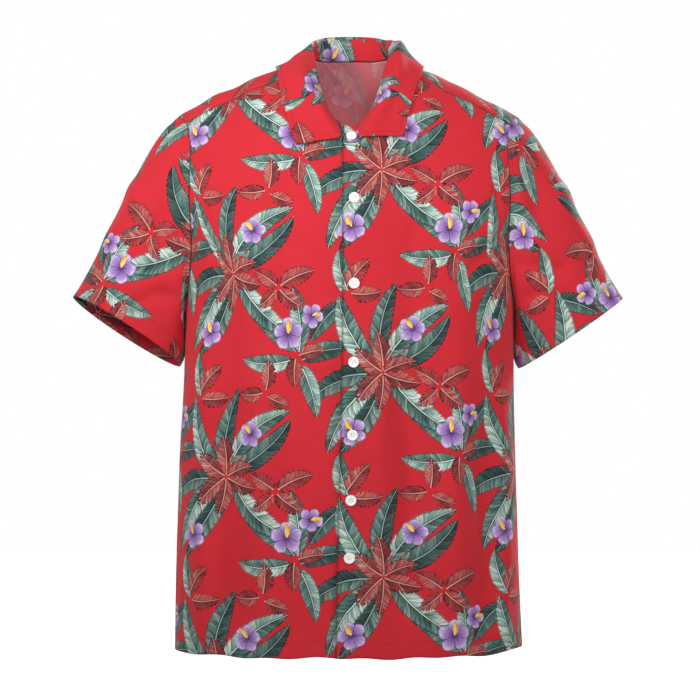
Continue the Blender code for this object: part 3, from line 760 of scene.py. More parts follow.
def drawFlowers(tree, colour, shared):
    look, values = flowerLook, dict(shared)
    readPlaces(tree, values, "flowers", "u", "v", "flower")
    addMath(tree, values, (
        ("uu", "MULTIPLY", "u", "u"),
        ("squared", "MULTIPLY_ADD", "v", "v", "uu"),
        ("radius", "SQRT", "squared"),
        ("angle", "ARCTAN2", "v", "u"),
        ("turned", "MULTIPLY", "angle", look["petals"] / 2),
        ("wave", "COSINE", "turned"),
        ("lobe", "ABSOLUTE", "wave"),
        ("round", "POWER", "lobe", look["roundness"]),
        ("reach", "MULTIPLY_ADD", "round", look["open"], 1 - look["open"]),
        ("ruffled", "MULTIPLY_ADD", "stray", look["stray"], "reach"),
        ("edge", "SUBTRACT", "ruffled", "radius"),
        ("inside", "GREATER_THAN", "edge", 0.0),
        ("outline", "LESS_THAN", "edge", look["outline"]),
        ("gap", "LESS_THAN", "lobe", look["gap"]),
    ))
    brushMarks(tree, values, ("angle", "radius", "flower"), look["streaks"])
    values["shade"] = addWeighted(tree, values, look["darkest"], look["shades"])
    return printOver(tree, values, colour, look["inks"])


def makeMaterial(name, settings):
    made = bpy.data.materials.new(name)
    made.use_nodes = True
    shader = made.node_tree.nodes["Principled BSDF"]
    for socket, value in settings.items():
        shader.inputs[socket].default_value = value
    return made, made.node_tree, shader


def cottonPoplin(name, wrongSide):
    # Printed cotton poplin: a close plain weave, screen printed, washed and pressed. The eye gets a matt
    # cloth with a fine grain, a faint bloom at grazing angles, and a paler, pinker print on its wrong side.
    finish = clothFinish
    made, tree, shader = makeMaterial(name, {
        "Roughness": 0.82,
        "Specular IOR Level": 0.22,
        "Sheen Weight": 0.10,
        "Sheen Roughness": 0.45,
        "Sheen Tint": linear("#ffd8d4"),
    })
    cloth = add(tree, "UVMap", {"uv_map": "cloth"}).outputs[0]
    shared = {}
    for key, (scale, detail) in finish["noises"].items():
        waves = {"Vector": cloth, "Scale": scale, "Detail": detail}
        shared[key] = add(tree, "TexNoise", {"noise_dimensions": "2D"}, waves).outputs["Fac"]
    addMath(tree, shared, (("stray", "SUBTRACT", "straying", 0.5), ("fray", "SUBTRACT", "fraying", 0.5)))
    low, high = (linear(colour) for colour in finish["ground"])
    colour = add(tree, "Mix", {"data_type": "RGBA"}, {0: shared["blend"], 6: low, 7: high}).outputs[2]
    for screen in ("backLeaves", "frontLeaves", "rustLeaves"):
        colour = drawBlades(tree, colour, screen, shared)
    colour = drawFlowers(tree, colour, shared)
    colour = drawBlades(tree, colour, "hearts", shared)
    values = {}
    readPlaces(tree, values, "edges", "fromHem", "fromSeam", "run")
    if wrongSide:
        # a hem is turned up to the inside, so the printed side shows there, up to its stitch line
        addMath(tree, values, (
            ("pastHem", "GREATER_THAN", "fromHem", finish["hemStitch"] + finish["hemEdge"]),
            ("faded", "MULTIPLY", "pastHem", 1 - finish["showThrough"]),
        ))
        pale = linear(finish["wrongSide"])
        colour = add(tree, "Mix", {"data_type": "RGBA"}, {0: values["faded"], 6: colour, 7: pale}).outputs[2]
    # painted shadow over seams and stitches, then the relief of seams, stitches and weave
    addMath(tree, values, (
        ("offStitch", "SUBTRACT", "fromHem", finish["hemStitch"]),
        ("offLine", "ABSOLUTE", "offStitch"),
        ("onLine", "LESS_THAN", "offLine", finish["stitchWidth"]),
        ("pitch", "DIVIDE", "run", finish["stitchLength"]),
        ("dash", "FRACT", "pitch"),
        ("thread", "LESS_THAN", "dash", finish["stitchShare"]),
        ("stitch", "MULTIPLY", "onLine", "thread"),
        ("seamShare", "DIVIDE", "fromSeam", finish["seamWidth"]),
        ("seam", "MINIMUM", "seamShare", 1.0),
        ("stitchShade", "MULTIPLY", "stitch", finish["stitchShade"]),
        ("darker", "MULTIPLY_ADD", "seam", -finish["seamShade"], finish["seamShade"]),
        ("shadeShare", "ADD", "darker", "stitchShade"),
    ))
    shadow = {0: values["shadeShare"], 6: colour, 7: linear(finish["shadow"])}
    colour = add(tree, "Mix", {"data_type": "RGBA", "blend_type": "MULTIPLY"}, shadow).outputs[2]
    scale = 1 / finish["threadSpacing"] * 0.1 * math.pi  # at scale 1 the waves lie pi / 10 metres apart
    for key, direction in (("warp", "X"), ("weft", "Y")):
        threads = {"Vector": cloth, "Scale": scale, "Distortion": 0.4, "Detail": 0.0}
        values[key] = add(tree, "TexWave", {"bands_direction": direction}, threads).outputs["Fac"]
    folds = {"Vector": cloth, "Scale": 1 / finish["creaseSize"], "Detail": 3.0, "Distortion": 0.7}
    values["crease"] = add(tree, "TexNoise", {"noise_dimensions": "2D"}, folds).outputs["Fac"]
    addMath(tree, values, (("threads", "MULTIPLY", "warp", "weft"),))
    height = addWeighted(tree, values, 0.0, finish["relief"])
    bump = add(tree, "Bump", None, {"Strength": 1.0, "Distance": 1.0, "Height": height}).outputs[0]
    tree.links.new(colour, shader.inputs["Base Color"])
    tree.links.new(bump, shader.inputs["Normal"])
    return made


rightSide = cottonPoplin("cottonPoplinPrinted", False)
wrongSide = cottonPoplin("cottonPoplinWrongSide", True)
print("cotton printed")


creaseForm = {
    # x1, z1, x2, z2, width, depth (minus for a ridge), bow; mm
    "front": (
        (-142, -250, -146, -740, 16, 10.9, 6),
        (-180, -300, -186, -735, 14, -5.1, -4),
        (-104, -330, -100, -740, 16, -5.4, 5),
        (-62, -420, -66, -745, 18, 4.6, 4),
        (-30, -240, -26, -600, 12, -2.4, 4),
        (82, -230, 74, -745, 18, 10.2, 8),
        (126, -250, 122, -730, 17, -5.9, -6),
        (172, -360, 166, -750, 15, 9, 4),
        (40, -330, 40, -640, 12, -2.9, 3),
        (196, -430, 192, -740, 10, -3.6, 3),
        (185, -95, 182, -195, 6, 3.1, 3),
        (200, -200, 140, -275, 8, 3.1, 6),
        (202, -250, 150, -330, 9, 2.6, 6),
        (-200, -205, -138, -280, 9, 3.1, -6),
        (-204, -255, -160, -345, 9, 2.6, -6),
        (-188, -100, -184, -190, 6, 2.4, -3),
        (-96, -130, -64, -245, 11, 2.4, 4),
        (104, -120, 70, -235, 11, 2.4, -4),
        (-13.8, -80, -14.4, -440, 3.2, 1.3, 0),
        (-13.6, -330, -21.2, -790, 3.2, 1.3, -1),
        (-30, -150, -12, -172, 5, 0.7, 1),
        (36, -175, 16, -170, 5, 0.6, 1),
        (-40, -290, -10, -276, 6, 0.8, 2),
        (44, -355, 14, -366, 6, 0.8, -2),
        (-36, -470, -10, -458, 6, 0.7, 1),
    ),
    "back": (
        (-120, -230, -126, -740, 17, 10.2, 6),
        (-165, -300, -172, -735, 15, -5.6, -4),
        (-62, -300, -56, -740, 17, -5.6, 5),
        (12, -200, 4, -740, 15, 7.7, -6),
        (64, -260, 70, -740, 17, -5.6, 4),
        (126, -220, 122, -740, 17, 10.5, -6),
        (176, -320, 180, -735, 14, -5.1, 4),
        (-196, -200, -110, -262, 10, 4.1, 8),
        (196, -205, 116, -255, 10, 4.1, -8),
        (-110, -80, -30, -110, 12, 2.4, 6),
        (110, -85, 36, -118, 12, 2.4, -6),
    ),
    # for sleeves, with the distance out from the body's middle in place of x
    "sleeve": (
        (214, -90, 262, -225, 12, 5.1, 10),
        (196, -235, 276, -250, 9, 4.6, 8),
        (206, -285, 280, -300, 10, 4.1, -6),
        (262, -130, 306, -240, 14, -4.1, 6),
        (216, -170, 248, -215, 7, 2.6, 4),
    ),
    "leafRight": (
        (-50, 4, -50, -46, 6, 1.6, 1),
    ),
    "leafLeft": (
        (66, -10, 46, -70, 8, 1, 3),
    ),
}


def pressCreases(points, normals, rows):
    # soft troughs and ridges along listed lines, as seen from the front or the back, which bow and
    # wander a little, swell and fade
    depth = np.zeros(points.shape[:-1])
    for row in rows:
        x1, z1, x2, z2, width, deep, bow = np.array(row) / 1000
        start, line = np.array([x1, z1]), np.array([x2 - x1, z2 - z1])
        length = np.linalg.norm(line)
        way = line / length
        q = points[..., (0, 2)] - start
        along = (q @ way) / length
        aside = q[..., 0] * way[1] - q[..., 1] * way[0]
        middle = np.clip(along, 0, 1)
        aside = aside - bow * 4 * middle * (1 - middle) - 0.25 * width * np.sin(11 * middle + x1 * 60)
        taper = ease(along, 0, 0.28) * (1 - ease(along, 0.80, 1.02))
        depth += deep * taper * np.exp(-((aside / width) ** 2)) * (1 + 0.25 * np.sin(7 * middle + z1 * 40))
    return points - depth[..., None] * normals


def unevenness(places, seed):
    # a broad, shallow waviness that no real cloth is without
    s, t = places[..., 0] + seed * 0.37, places[..., 1] + seed * 0.21
    return (
        np.sin(61 * s + 9 * t + seed) * np.sin(17 * t + 5 * s)
        + 0.7 * np.sin(94 * s - 21 * t + 2 * seed)
        + 0.6 * np.sin(33 * t + 40 * s + 3 * seed) * np.sin(71 * s)
    )


def gridNormals(points, ring=False):
    if ring:
        points = np.concatenate([points[:, -1:], points, points[:, :1]], axis=1)
    normal = unit(np.cross(np.gradient(points, axis=1), np.gradient(points, axis=0)))
    return normal[:, 1:-1] if ring else normal


def shapeCloth(form, creases, seed, points, normals, places, quiet, pressed, fromSeam, mirror=1):
    # uneven by the share quiet and creased by the share pressed, and dipped to its seams
    wavy = points + (form["unevenness"] * unevenness(places, seed) * quiet)[..., None] * normals
    seen, out = wavy * (mirror, 1, 1), normals * (mirror, 1, 1)
    shaped = pressCreases(seen, out * pressed[..., None], creaseForm[creases]) * (mirror, 1, 1)
    return shaped - (form["seamDip"] * (1 - ease(fromSeam, 0, clothFinish["dipWidth"])))[..., None] * normals


def cornersOf(values):
    # a grid's values at the four corners of each of its faces
    corners = np.stack([values[:-1, :-1], values[:-1, 1:], values[1:, 1:], values[1:, :-1]], axis=2)
    return corners.reshape(-1, 4, values.shape[-1])


def place(name, data, where=(0, 0, 0), target=None):
    # one object in the scene, which looks at the target where there is one
    made = bpy.data.objects.new(name, data)
    made.location = where
    if target:
        made.rotation_mode = "QUATERNION"
        made.rotation_quaternion = (Vector(target) - Vector(where)).to_track_quat("-Z", "Y")
    bpy.context.scene.collection.objects.link(made)
    return made


def sew(name, node, points, places, edges, bothRight=False, ring=False):
    # a thin shell of cloth with its place on the print, riding on the shirt's one body
    index = np.arange(points[..., 0].size).reshape(points.shape[:2] + (1,))
    if ring:
        index = np.concatenate([index, index[:, :1]], axis=1)
    faces = cornersOf(index)[..., 0].tolist()
    data = bpy.data.meshes.new(name)
    data.from_pydata(points.reshape(-1, 3).tolist(), [], faces)
    corners = cornersOf(places)
    data.uv_layers.new(name="cloth").uv.foreach_set("vector", corners.ravel())
    for key in ("backLeaves", "frontLeaves", "rustLeaves", "flowers", "hearts", "edges"):
        values = cornersOf(edges) if key == "edges" else screenPlaces(corners, key)
        data.attributes.new(key, "FLOAT_VECTOR", "CORNER").data.foreach_set("vector", values.ravel())
    data.shade_smooth()
    data.materials.append(rightSide)
    data.materials.append(rightSide if bothRight else wrongSide)
    piece = place(name, data)
    shell = piece.modifiers.new("shell", "SOLIDIFY")
    shell.thickness = clothFinish["thickness"]
    shell.offset = -1
    shell.use_even_offset = True
    shell.material_offset = 1
    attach(piece, "root")
    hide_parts(node)
    print(name, "sewn:", len(faces), "faces a side")
    return piece


frontForm = {
    "printShift": {"frontRight": (0.026, 0.030), "frontLeft": (0.026, 0.026)},
    "unevenness": 0.0005,
    "seamDip": 0.0004,
    "quiet": (0.020, 0.030, 0.030),  # folds grow this far from the side, the top and the centre edge
    "edgeShade": 0.004,  # painted shade on the folded edge at the buttons, darker than at a seam, as a length past it
}

hemForm = {
    "cornerLift": 0.005,  # the wearer's left corner hangs a little higher
    "cornerFrom": (0.150, 0.215),
    "wave": 0.0018,
    "height": 0.06,  # how far up the cloth both reach
}


def hemLift(x, fromSide, up):
    # the same on the fronts and the back, so that their corners meet
    wave = hemForm["wave"] * np.sin(x * 74 + 1.2) * np.sin(x * 31) * ease(fromSide, 0, 0.03)
    lift = wave + hemForm["cornerLift"] * ease(x, *hemForm["cornerFrom"])
    return lift * (1 - ease(up, 0, hemForm["height"]))


def makeFront(side, name, node):
    grid = frontGrid(side)
    points = body(grid[..., 0], grid[..., 1])
    places = clothPlaces(grid)
    if side < 0:
        points, places = points[:, ::-1], places[:, ::-1]
    else:
        fromCentre = points[..., 0] - read(panelForm["centreLine"], points[..., 2], 1)
        raised = panelForm["lap"] * (1 - ease(fromCentre, *panelForm["lapRamp"]))
        points = points + raised[..., None] * gridNormals(points)
    normals = gridNormals(points)
    run, up = lengths(points, 1), lengths(points, 0)
    fromTop, back = up[-1:] - up, run[:, -1:] - run
    fromSide, fromCentreEdge = (back, run) if side > 0 else (run, back)
    columns = np.arange(points.shape[1])
    underShoulder = panelForm["frontCells"][1] * panelForm["fineFront"]
    atShoulder = columns >= len(columns) - underShoulder if side > 0 else columns <= underShoulder
    fromSeam = np.minimum(fromSide, np.where(atShoulder, fromTop, clothFinish["noEdge"]))
    quiet = 1.0
    for distance, reach in zip((fromSide, fromTop, fromCentreEdge), frontForm["quiet"]):
        quiet = quiet * ease(distance, 0, reach)
    shaped = shapeCloth(frontForm, "front", side, points, normals, places, quiet, quiet, fromSeam)
    shaped[..., 2] += hemLift(points[..., 0], fromSide, up)
    # painted shade along the folded edge at the buttons, carried with the seams' painted shadow
    if side > 0:
        fromSeam = np.minimum(fromSeam, 1.5 * fromCentreEdge - frontForm["edgeShade"])
    edges = together(up, fromSeam, places[..., 0])
    return sew(name, node, shaped, places + frontForm["printShift"][name], edges)


frontRight = makeFront(-1, "frontRight", "front_right")
frontLeft = makeFront(1, "frontLeft", "front_left")


backForm = {
    "printShift": (0.020, 0.090),
    "unevenness": 0.0006,
    "seamDip": 0.0004,
}


def makeBack():
    grid = backGrid()
    points = body(grid[..., 0], grid[..., 1])
    places = clothPlaces(grid) + backForm["printShift"]
    normals = gridNormals(points)
    run, up = lengths(points, 1), lengths(points, 0)
    fromSide, fromTop = np.minimum(run, run[:, -1:] - run), up[-1:] - up
    columns = np.arange(points.shape[1])
    shoulder = panelForm["backCells"][1] * panelForm["fineBack"]
    atShoulder = (columns <= shoulder) | (columns >= len(columns) - 1 - shoulder)
    fromSeam = np.minimum(fromSide, np.where(atShoulder, fromTop, clothFinish["noEdge"]))
    quiet = ease(fromSide, 0, 0.02) * ease(fromTop, 0, 0.05)
    pressed = quiet * ease(points[..., 1], 0.0, 0.04)  # no creases on the part in front of the ridge
    shaped = shapeCloth(backForm, "back", 2.3, points, normals, places, quiet, pressed, fromSeam)
    shaped[..., 2] += hemLift(points[..., 0], fromSide, up)
    return sew("backPanel", "back", shaped, places, together(up, fromSeam, places[..., 0]))


back = makeBack()


sleeveForm = {
    "rows": {
        # outer x, outer z, inner x, inner z of the oval hem, its half depth and its tilt up the arm
        "sleeveRight": (349, -286, 213.5, -373, 51, 10),
        "sleeveLeft": (343.5, -287, 212, -376, 50, -2),
    },
    "leaveLow": (0.30, -0.95),  # x and z of the way that the cloth leaves the armhole, at the armpit
    "leaveHigh": (0.80, -0.60),  # and at the shoulder
    "leave": 0.62,
    "fine": 6,
    "rowsDown": 84,
    "unevenness": 0.0006,
    "seamDip": 0.0003,
    "roll": (0.0012, 0.010, 0.006),  # a soft hollow beside the armhole seam: depth, distance, width
    "leastAcross": 0.4,  # of a step round the sleeve, where the cloth runs aslant
    "printShift": {"sleeveRight": (0.010, 0.120), "sleeveLeft": (0.120, 0.040)},
}


def makeSleeve(side, name, node):
    outerX, outerZ, innerX, innerZ, halfDepth, tilt = np.array(sleeveForm["rows"][name]) / 1000
    front, behind = armTurns(side, sleeveForm["fine"])
    turns = np.concatenate([front, behind[-2:0:-1]])
    start = body(*armhole(side, turns).T)
    ends = ((outerX, outerZ), (innerX, innerZ), sleeveForm["leaveLow"], sleeveForm["leaveHigh"])
    outer, inner, low, high = (np.array([side * x, 0, z]) for x, z in ends)
    half = (outer - inner) / 2
    arm = np.array([-half[2], 0, half[0]]) * side
    arm = -arm / np.linalg.norm(arm) * np.sign(arm[2])
    sine, cosine = np.sin(turns)[:, None], np.cos(turns)[:, None]
    end = (outer + inner) / 2 + half * sine - cosine * np.array([0, halfDepth, 0]) - tilt * cosine * arm
    leave = low + (high - low) * (1 + sine) / 2
    length = np.linalg.norm(end - start, axis=1, keepdims=True)
    t = np.linspace(0, 1, sleeveForm["rowsDown"] + 1)[:, None, None]
    points = hermite(start, end, leave * length * sleeveForm["leave"], arm * length, t)
    top = int(np.argmin(np.abs(turns - math.pi / 2)))
    if side > 0:
        points, top = points[:, ::-1], len(turns) - 1 - top
    normals = gridNormals(points, ring=True)
    closed = np.concatenate([points, points[:, :1]], axis=1)
    fromSeam = lengths(closed, 0)
    fromHem = fromSeam[-1:] - fromSeam
    # on the flat cloth: up from the hem, and to either side of the line down from the shoulder
    step = np.linalg.norm(np.diff(closed, axis=1), axis=-1)
    least = sleeveForm["leastAcross"] * step
    step = np.sqrt(np.maximum(step**2 - np.diff(fromHem, axis=1) ** 2, least**2))
    around = np.pad(np.cumsum(step, axis=1), ((0, 0), (1, 0)))
    around = around - around[:, top : top + 1]
    places = together(around, fromHem) + sleeveForm["printShift"][name]
    edges = together(fromHem, fromSeam, around)
    quiet = (ease(fromSeam, 0, 0.025) * ease(fromHem, 0, 0.01))[:, :-1]
    fromSeam = fromSeam[:, :-1]
    shaped = shapeCloth(
        sleeveForm, "sleeve", side * 1.7, points, normals, places[:, :-1], quiet, quiet, fromSeam, mirror=side
    )
    depth, distance, width = sleeveForm["roll"]
    shaped -= (depth * np.exp(-(((fromSeam - distance) / width) ** 2)))[..., None] * normals
    return sew(name, node, shaped, places, edges, ring=True)


sleeveRight = makeSleeve(-1, "sleeveRight", "sleeve_right")
sleeveLeft = makeSleeve(1, "sleeveLeft", "sleeve_left")


def standPoints(position, share):
    # the stand at a share of its height, and the way out from the neck
    foot, top = body(*neckline(position).T), collar(position)[..., 2:5]
    rise = top - foot
    height = np.linalg.norm(rise, axis=-1, keepdims=True)
    outward = unit(-np.cross(np.gradient(foot + top, axis=0), rise))
    lap = panelForm["lap"] * ease(position, *collarForm["lapRows"])
    offset = lap - collarForm["standBow"] * 4 * share * (1 - share)
    lift = (1 - share) * collarForm["standLift"] / height
    return foot + rise * (share + lift) + outward * offset[..., None], outward


def makeStand():
    columns, rows = collarForm["standCells"]
    end = collarForm["centreFront"]
    position = np.linspace(-end - collarForm["standUnder"], end + collarForm["standOver"], columns + 1)
    points = np.stack([standPoints(position, share)[0] for share in np.linspace(0, 1, rows + 1)])[:, ::-1]
    run, up = lengths(points, 1), lengths(points, 0)
    places = together(run[0], up) + collarForm["printShift"]["stand"]
    edges = together(clothFinish["noEdge"], up, run)
    return sew("collarStand", "collar_stand", points, places, edges, bothRight=True)


def clearOfPanels(points):
    # moved ahead of the fronts, and off the panels where they would come too near
    x, y, z = points.T
    lap = panelForm["lap"] * (1 - ease(x, *panelForm["lapRamp"])) * (x > 0) * (y < 0)
    clearance = collarForm["leafClearance"] + lap
    forward = np.maximum(-y, frontDepthAt(x, z) + clearance) + y
    y = y - ease(-y, *collarForm["leafAhead"]) * forward
    angle = angleAt(x)
    reach = reachAtDepth(angle, y)
    points, normal = together(x, y, z), bodyNormals(angle, reach)
    off = ((points - body(angle, reach)) * normal).sum(axis=-1)
    return points + np.maximum(clearance - off, 0)[:, None] * normal


def makeLeaf():
    # at each place round the neck, a curve from the stand's top, over the fold, to the outer edge
    form = collarForm
    columns, rows = form["leafCells"]
    last = form["leafEnd"]
    position = np.linspace(-last, last, columns + 1)
    table = np.array(form["leafEdge"]) / 1000
    right, left = table[:, :3] * (-1, 1, 1), table[:, 3:]
    edge = smooth(np.concatenate([right[:0:-1], left]), position + last)
    neckNormal = bodyNormals(*neckline(position).T)
    foot = standPoints(position, 0.0)[0]
    top, outward = standPoints(position, 1.0)
    up = unit(top - foot)
    forward = ease(np.abs(position), *form["forwardRows"])[:, None]
    ends = (form["neckRise"], form["neckAway"], form["foldOut"])
    rise, away, foldOut = (a + (b - a) * forward for a, b in ends)
    start = top + (up - outward) * form["leafStart"]
    fold = top + outward * foldOut + up * form["foldUp"]
    overNeck = foot + (top - foot) * rise + (outward + neckNormal) / 2 * away
    out, lower, outBelow, upBelow = form["puff"]
    puffed, dropped = (
        (ease(position, *stretch[:2]) - ease(position, *stretch[2:]))[:, None]
        for stretch in (form["puffRows"], form["dropRows"])
    )
    fold += puffed * outward * out + dropped * up * lower
    overNeck += puffed * (outward * outBelow + up * upBelow)
    middle = clearOfPanels((overNeck + edge) / 2 + up * form["leafLift"] * (1 - forward))
    curve = np.stack([start, fold, overNeck, middle, clearOfPanels(edge)])
    points = smooth(curve, np.linspace(0, len(curve) - 1, rows + 1))
    normals = gridNormals(points)
    run, down = lengths(points, 1), lengths(points, 0)
    fromEdge = down[-1:] - down
    quiet = ease(fromEdge, 0, 0.012) * ease(down, 0, 0.01)
    for name in ("leafRight", "leafLeft"):
        points = pressCreases(points, normals * quiet[..., None], creaseForm[name])
    middleRun = np.broadcast_to(run[len(run) // 2], run.shape)
    places = together(middleRun, -down) + form["printShift"]["leaf"]
    fromEnd = np.minimum(np.minimum(run, run[:, -1:] - run), fromEdge)
    fromStitch = fromEnd - form["leafStitch"]
    edges = together(clothFinish["hemStitch"] + fromStitch, clothFinish["noEdge"], middleRun + down)
    return sew("collarLeaf", "collar_leaf", points, places, edges, bothRight=True)


collarStand = makeStand()
collarLeaf = makeLeaf()


buttonForm = {
    "radius": 0.0066,
    "thickness": 0.0024,
    "flat": 0.80,  # share of the radius where the top and the underside are flat
    "rim": 0.0007,
    "dish": (0.0041, 0.0007),
    "holeRadius": 0.00075,
    "holeSpread": 0.0018,
    "threadRadius": 0.00022,
    "threadApart": 0.00024,  # half the distance between the two threads of a pair
    "threadBow": 0.00038,
    "gap": 0.0003,
    "neck": (-0.13, 0.31, 0.0009),  # rows past the middle of the front, share of the stand's height, gap
    "heights": (-0.168, -0.272, -0.3675, -0.456, -0.535, -0.605),
    "turns": (8, -12, 5, 21, -7, 14, -3),  # degrees that each one has turned on its thread
    "colour": "#f3f1ec",
    "cloud": (260.0, "#e8e5de", "#fbfaf6"),  # waves in a metre, from the darker to the paler colour
    "thread": "#f4efe6",
    "sharpFrom": 38,  # degrees, softer edges are shaded smooth
}


def castPolyester():
    # Cast polyester turned to shape and tumbled: milky white with a faint pearly cloud, a soft gloss on top.
    made, tree, shader = makeMaterial("castPolyester", {
        "Base Color": linear(buttonForm["colour"]),
        "Roughness": 0.32,
        "Specular IOR Level": 0.5,
        "Coat Weight": 0.25,
        "Coat Roughness": 0.15,
        "Subsurface Weight": 0.15,
        "Subsurface Radius": (0.0012, 0.0011, 0.0010),
    })
    scale, dark, pale = buttonForm["cloud"]
    at = add(tree, "TexCoord").outputs["Object"]
    cloud = add(tree, "TexNoise", None, {"Vector": at, "Scale": scale, "Detail": 2.0, "Distortion": 1.2})
    ramp = add(tree, "ValToRGB", {"stops": ((0.25, dark), (0.75, pale))}, {0: cloud.outputs["Fac"]})
    tree.links.new(ramp.outputs[0], shader.inputs["Base Color"])
    return made


def spin(profile, segments):
    # a closed outline of radius and height turned about +Z, its ends on the axis
    verts, faces = [(0, 0, profile[0][1])], []
    for radius, height in profile[1:-1]:
        for k in range(segments):
            turn = math.tau * k / segments
            verts.append((radius * math.cos(turn), radius * math.sin(turn), height))
    verts.append((0, 0, profile[-1][1]))
    last = len(verts) - 1
    for k in range(segments):
        after = (k + 1) % segments
        faces.append((0, 1 + after, 1 + k))
        for ring in range(len(profile) - 3):
            low, high = 1 + ring * segments, 1 + (ring + 1) * segments
            faces.append((low + k, low + after, high + after, high + k))
        faces.append((last - segments + k, last - segments + after, last))
    return verts, faces


def rod(start, end, radius, rings=7, sides=10):
    # a short length of thread between two points, bowed up in its middle
    start, end, above = Vector(start), Vector(end), Vector((0, 0, 1))
    side = (end - start).cross(above).normalized()
    verts, faces = [], []
    for ring in range(rings):
        t = ring / (rings - 1)
        middle = start.lerp(end, t) + above * buttonForm["threadBow"] * math.sin(math.pi * t)
        for k in range(sides):
            turn = math.tau * k / sides
            verts.append(middle + side * radius * math.cos(turn) + above * radius * math.sin(turn))
            if ring:
                low, after = (ring - 1) * sides, (k + 1) % sides
                faces.append((low + k, low + after, low + sides + after, low + sides + k))
    faces.append(tuple(range(sides)))
    faces.append(tuple(reversed(range(len(verts) - sides, len(verts)))))
    return verts, faces


def meshOf(name, verts, faces):
    data = bpy.data.meshes.new(name)
    data.from_pydata([tuple(v) for v in verts], [], faces)
    data.validate()
    return data


def drilledButton():
    form = buttonForm
    r, thick, (dish, deep), rim = form["radius"], form["thickness"], form["dish"], form["rim"]
    profile = [(0, 0), (r * form["flat"], 0.0)]
    for k in range(9):
        turn = -math.pi / 2 + math.pi * k / 8
        profile.append((r - rim + rim * math.cos(turn), thick / 2 + thick / 2 * math.sin(turn)))
    profile += [(r * form["flat"], thick), (dish + 0.0006, thick - 0.0001)]
    for k in range(5):
        part = k / 4
        sunk = (deep - 0.0002) * part**1.6 * (2 - part)
        profile.append((dish + 0.0004 - 0.0008 * part, thick - 0.0002 - sunk))
    profile += [(dish * 0.5, thick - deep - 0.0001), (0, thick - deep - 0.0001)]
    blank = place("blank", meshOf("blank", *spin(profile, 72)))
    tools = []
    for k in range(4):
        turn = math.tau * (k + 0.5) / 4
        where = (form["holeSpread"] * math.cos(turn), form["holeSpread"] * math.sin(turn), 0)
        hole = [(0, -0.003), (form["holeRadius"], -0.003), (form["holeRadius"], 0.006), (0, 0.006)]
        tools.append(place("hole", meshOf("hole", *spin(hole, 24)), where))
        cut = blank.modifiers.new("hole", "BOOLEAN")
        cut.operation, cut.object, cut.solver = "DIFFERENCE", tools[-1], "EXACT"
    bpy.context.view_layer.update()
    drilled = bpy.data.meshes.new_from_object(blank.evaluated_get(bpy.context.evaluated_depsgraph_get()))
    for item in [blank, *tools]:
        bpy.data.objects.remove(item)
    verts, faces = [], []
    spread = form["holeSpread"] * math.sqrt(0.5)
    for y in (-spread, spread):
        for offset in (-form["threadApart"], form["threadApart"]):
            ends = ((x, y + offset, thick - deep) for x in (-spread, spread))
            bar, barFaces = rod(*ends, form["threadRadius"])
            faces += [tuple(index + len(verts) for index in face) for face in barFaces]
            verts += bar
    return drilled, meshOf("thread", verts, faces)


def placeButton(node, point, normal, gap, turn):
    normal = Vector(normal).normalized()
    spun = normal.to_track_quat("Z", "Y") @ Quaternion((0, 0, 1), math.radians(turn))
    name = node.replace("_", " ").title().replace(" ", "")
    for part, source, material in (("", drilled, polyester), ("Thread", stitched, spunThread)):
        data = source.copy()
        data.materials.clear()
        data.materials.append(material)
        data.shade_smooth()
        if not part:
            data.set_sharp_from_angle(angle=math.radians(buttonForm["sharpFrom"]))
        piece = place(name + part, data, Vector(point) + normal * gap)
        piece.rotation_mode = "QUATERNION"
        piece.rotation_quaternion = spun
        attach(piece, "root")
        if not part:
            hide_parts(node)


polyester = castPolyester()
# Spun polyester thread: matt white, a little fuzzy.
spunThread = makeMaterial("spunPolyesterThread", {
    "Base Color": linear(buttonForm["thread"]), "Roughness": 0.8, "Specular IOR Level": 0.2,
})[0]
drilled, stitched = drilledButton()
row, share, gap = buttonForm["neck"]
standHere, standOut = standPoints(collarForm["centreFront"] + row + np.array([-0.02, 0, 0.02]), share)
turns = buttonForm["turns"]
placeButton("button_collar", standHere[1], standOut[1], gap, turns[0])
for number, z in enumerate(buttonForm["heights"], 1):
    x = float(read(panelForm["centreLine"], z, 1))
    angle = angleAt(x / float(read(bodyForm["halfWidths"], z, 2)) * bodyForm["topHalfWidth"])
    reach = reachAtHeight(angle, z, True)
    out = bodyNormals(angle, reach)
    where = body(angle, reach) + panelForm["lap"] * out
    placeButton(f"button_front_{number}", where, out, buttonForm["gap"], turns[number])
print("buttons placed")


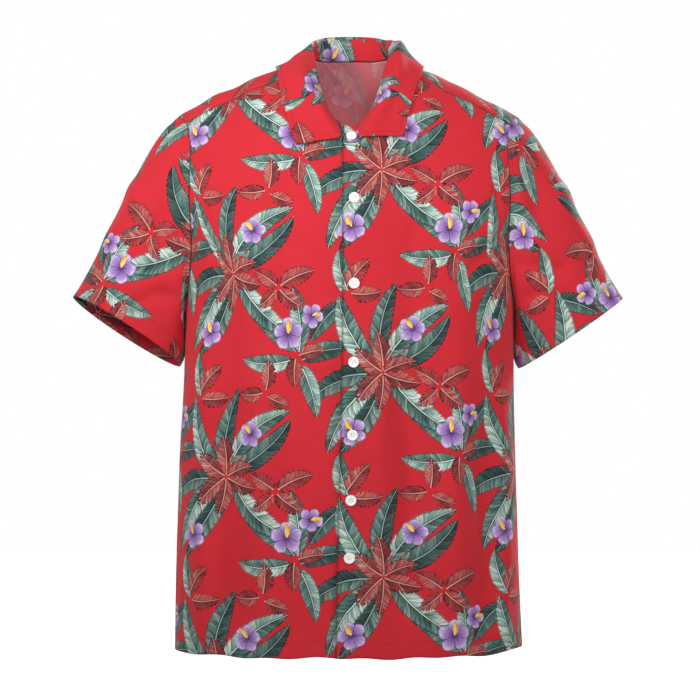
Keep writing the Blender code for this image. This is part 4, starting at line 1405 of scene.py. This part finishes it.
studio = {
    "floor": "#ecebe8",
    "floorReach": 7.0,
    "floorHeight": -1.2,
    "floorLight": (4.2, 50),  # strength and width in degrees of a light from above on the floor alone
    "world": ("#ffffff", 0.25),
    "seen": "#ffffff",
    # name: place, aims at, size, watts, spread in degrees
    "lights": {
        "keySoftbox": ((-1.05, -1.05, 0.48), (0.02, 0.0, -0.10), 0.7, 5.4, 100),
        "fillSoftbox": ((2.3, -1.8, 0.4), (0.0, 0.0, -0.25), 1.6, 5.6, 80),
        "frontSoftbox": ((0.15, -2.9, 0.20), (0.0, 0.0, 0.0), 0.9, 2.4, 44),
        "rearSoftbox": ((1.15, 1.3, 0.50), (0.0, 0.0, -0.15), 0.6, 11.5, 100),
        "rearFillSoftbox": ((-2.0, 2.4, 0.5), (0.0, 0.0, -0.20), 1.6, 3.4, 80),
    },
    "lens": 122.45,
    "camera": (0.0, -3.0, -0.3528),
}


def softbox(name, where, target, size, watts, spread):
    light = bpy.data.lights.new(name, "AREA")
    light.shape, light.size, light.energy = "DISK", size, watts
    light.spread = math.radians(spread)
    place(name, light, where, target)


def floorSheet():
    # matt white board, which a light of its own keeps pale and which throws no light back up at the cloth
    reach, low = studio["floorReach"], studio["floorHeight"]
    verts = [(x * reach, y * reach, low) for x, y in ((-1, -1), (1, -1), (1, 1), (-1, 1))]
    data = meshOf("floorBoard", verts, [(0, 1, 2, 3)])
    board = {"Base Color": linear(studio["floor"]), "Roughness": 0.95, "Specular IOR Level": 0.1}
    data.materials.append(makeMaterial("mattBoard", board)[0])
    floor = place("floorBoard", data)
    floor.visible_diffuse = False
    lit = bpy.data.collections.new("litFromAbove")
    lit.objects.link(floor)
    light = bpy.data.lights.new("floorLight", "SUN")
    light.energy, light.angle = studio["floorLight"][0], math.radians(studio["floorLight"][1])
    above = place("floorLight", light, (0, 0, 2), (0, 0, 0))
    above.light_linking.receiver_collection = lit


floorSheet()
for name, settings in studio["lights"].items():
    softbox(name, *settings)
world = bpy.data.worlds.new("studioWorld")
world.use_nodes = True
air, tree = world.node_tree.nodes["Background"], world.node_tree
air.inputs["Color"].default_value = linear(studio["world"][0])
air.inputs["Strength"].default_value = studio["world"][1]
# the pale room as it is seen, brighter than the soft light that it gives
seen = add(tree, "Background", None, {"Color": linear(studio["seen"]), "Strength": 1.0})
both = add(tree, "MixShader", None, {0: add(tree, "LightPath").outputs["Is Camera Ray"]})
tree.links.new(air.outputs[0], both.inputs[1])
tree.links.new(seen.outputs[0], both.inputs[2])
tree.links.new(both.outputs[0], tree.nodes["World Output"].inputs["Surface"])
bpy.context.scene.world = world
lens = bpy.data.cameras.new("camera")
lens.lens = studio["lens"]
lens.sensor_width = 36
lens.clip_end = 60
camera = place("camera", lens, studio["camera"])
camera.rotation_euler = (math.pi / 2, 0, 0)
bpy.context.scene.camera = camera
bpy.context.scene.view_settings.view_transform = "Standard"
print("studio lit")
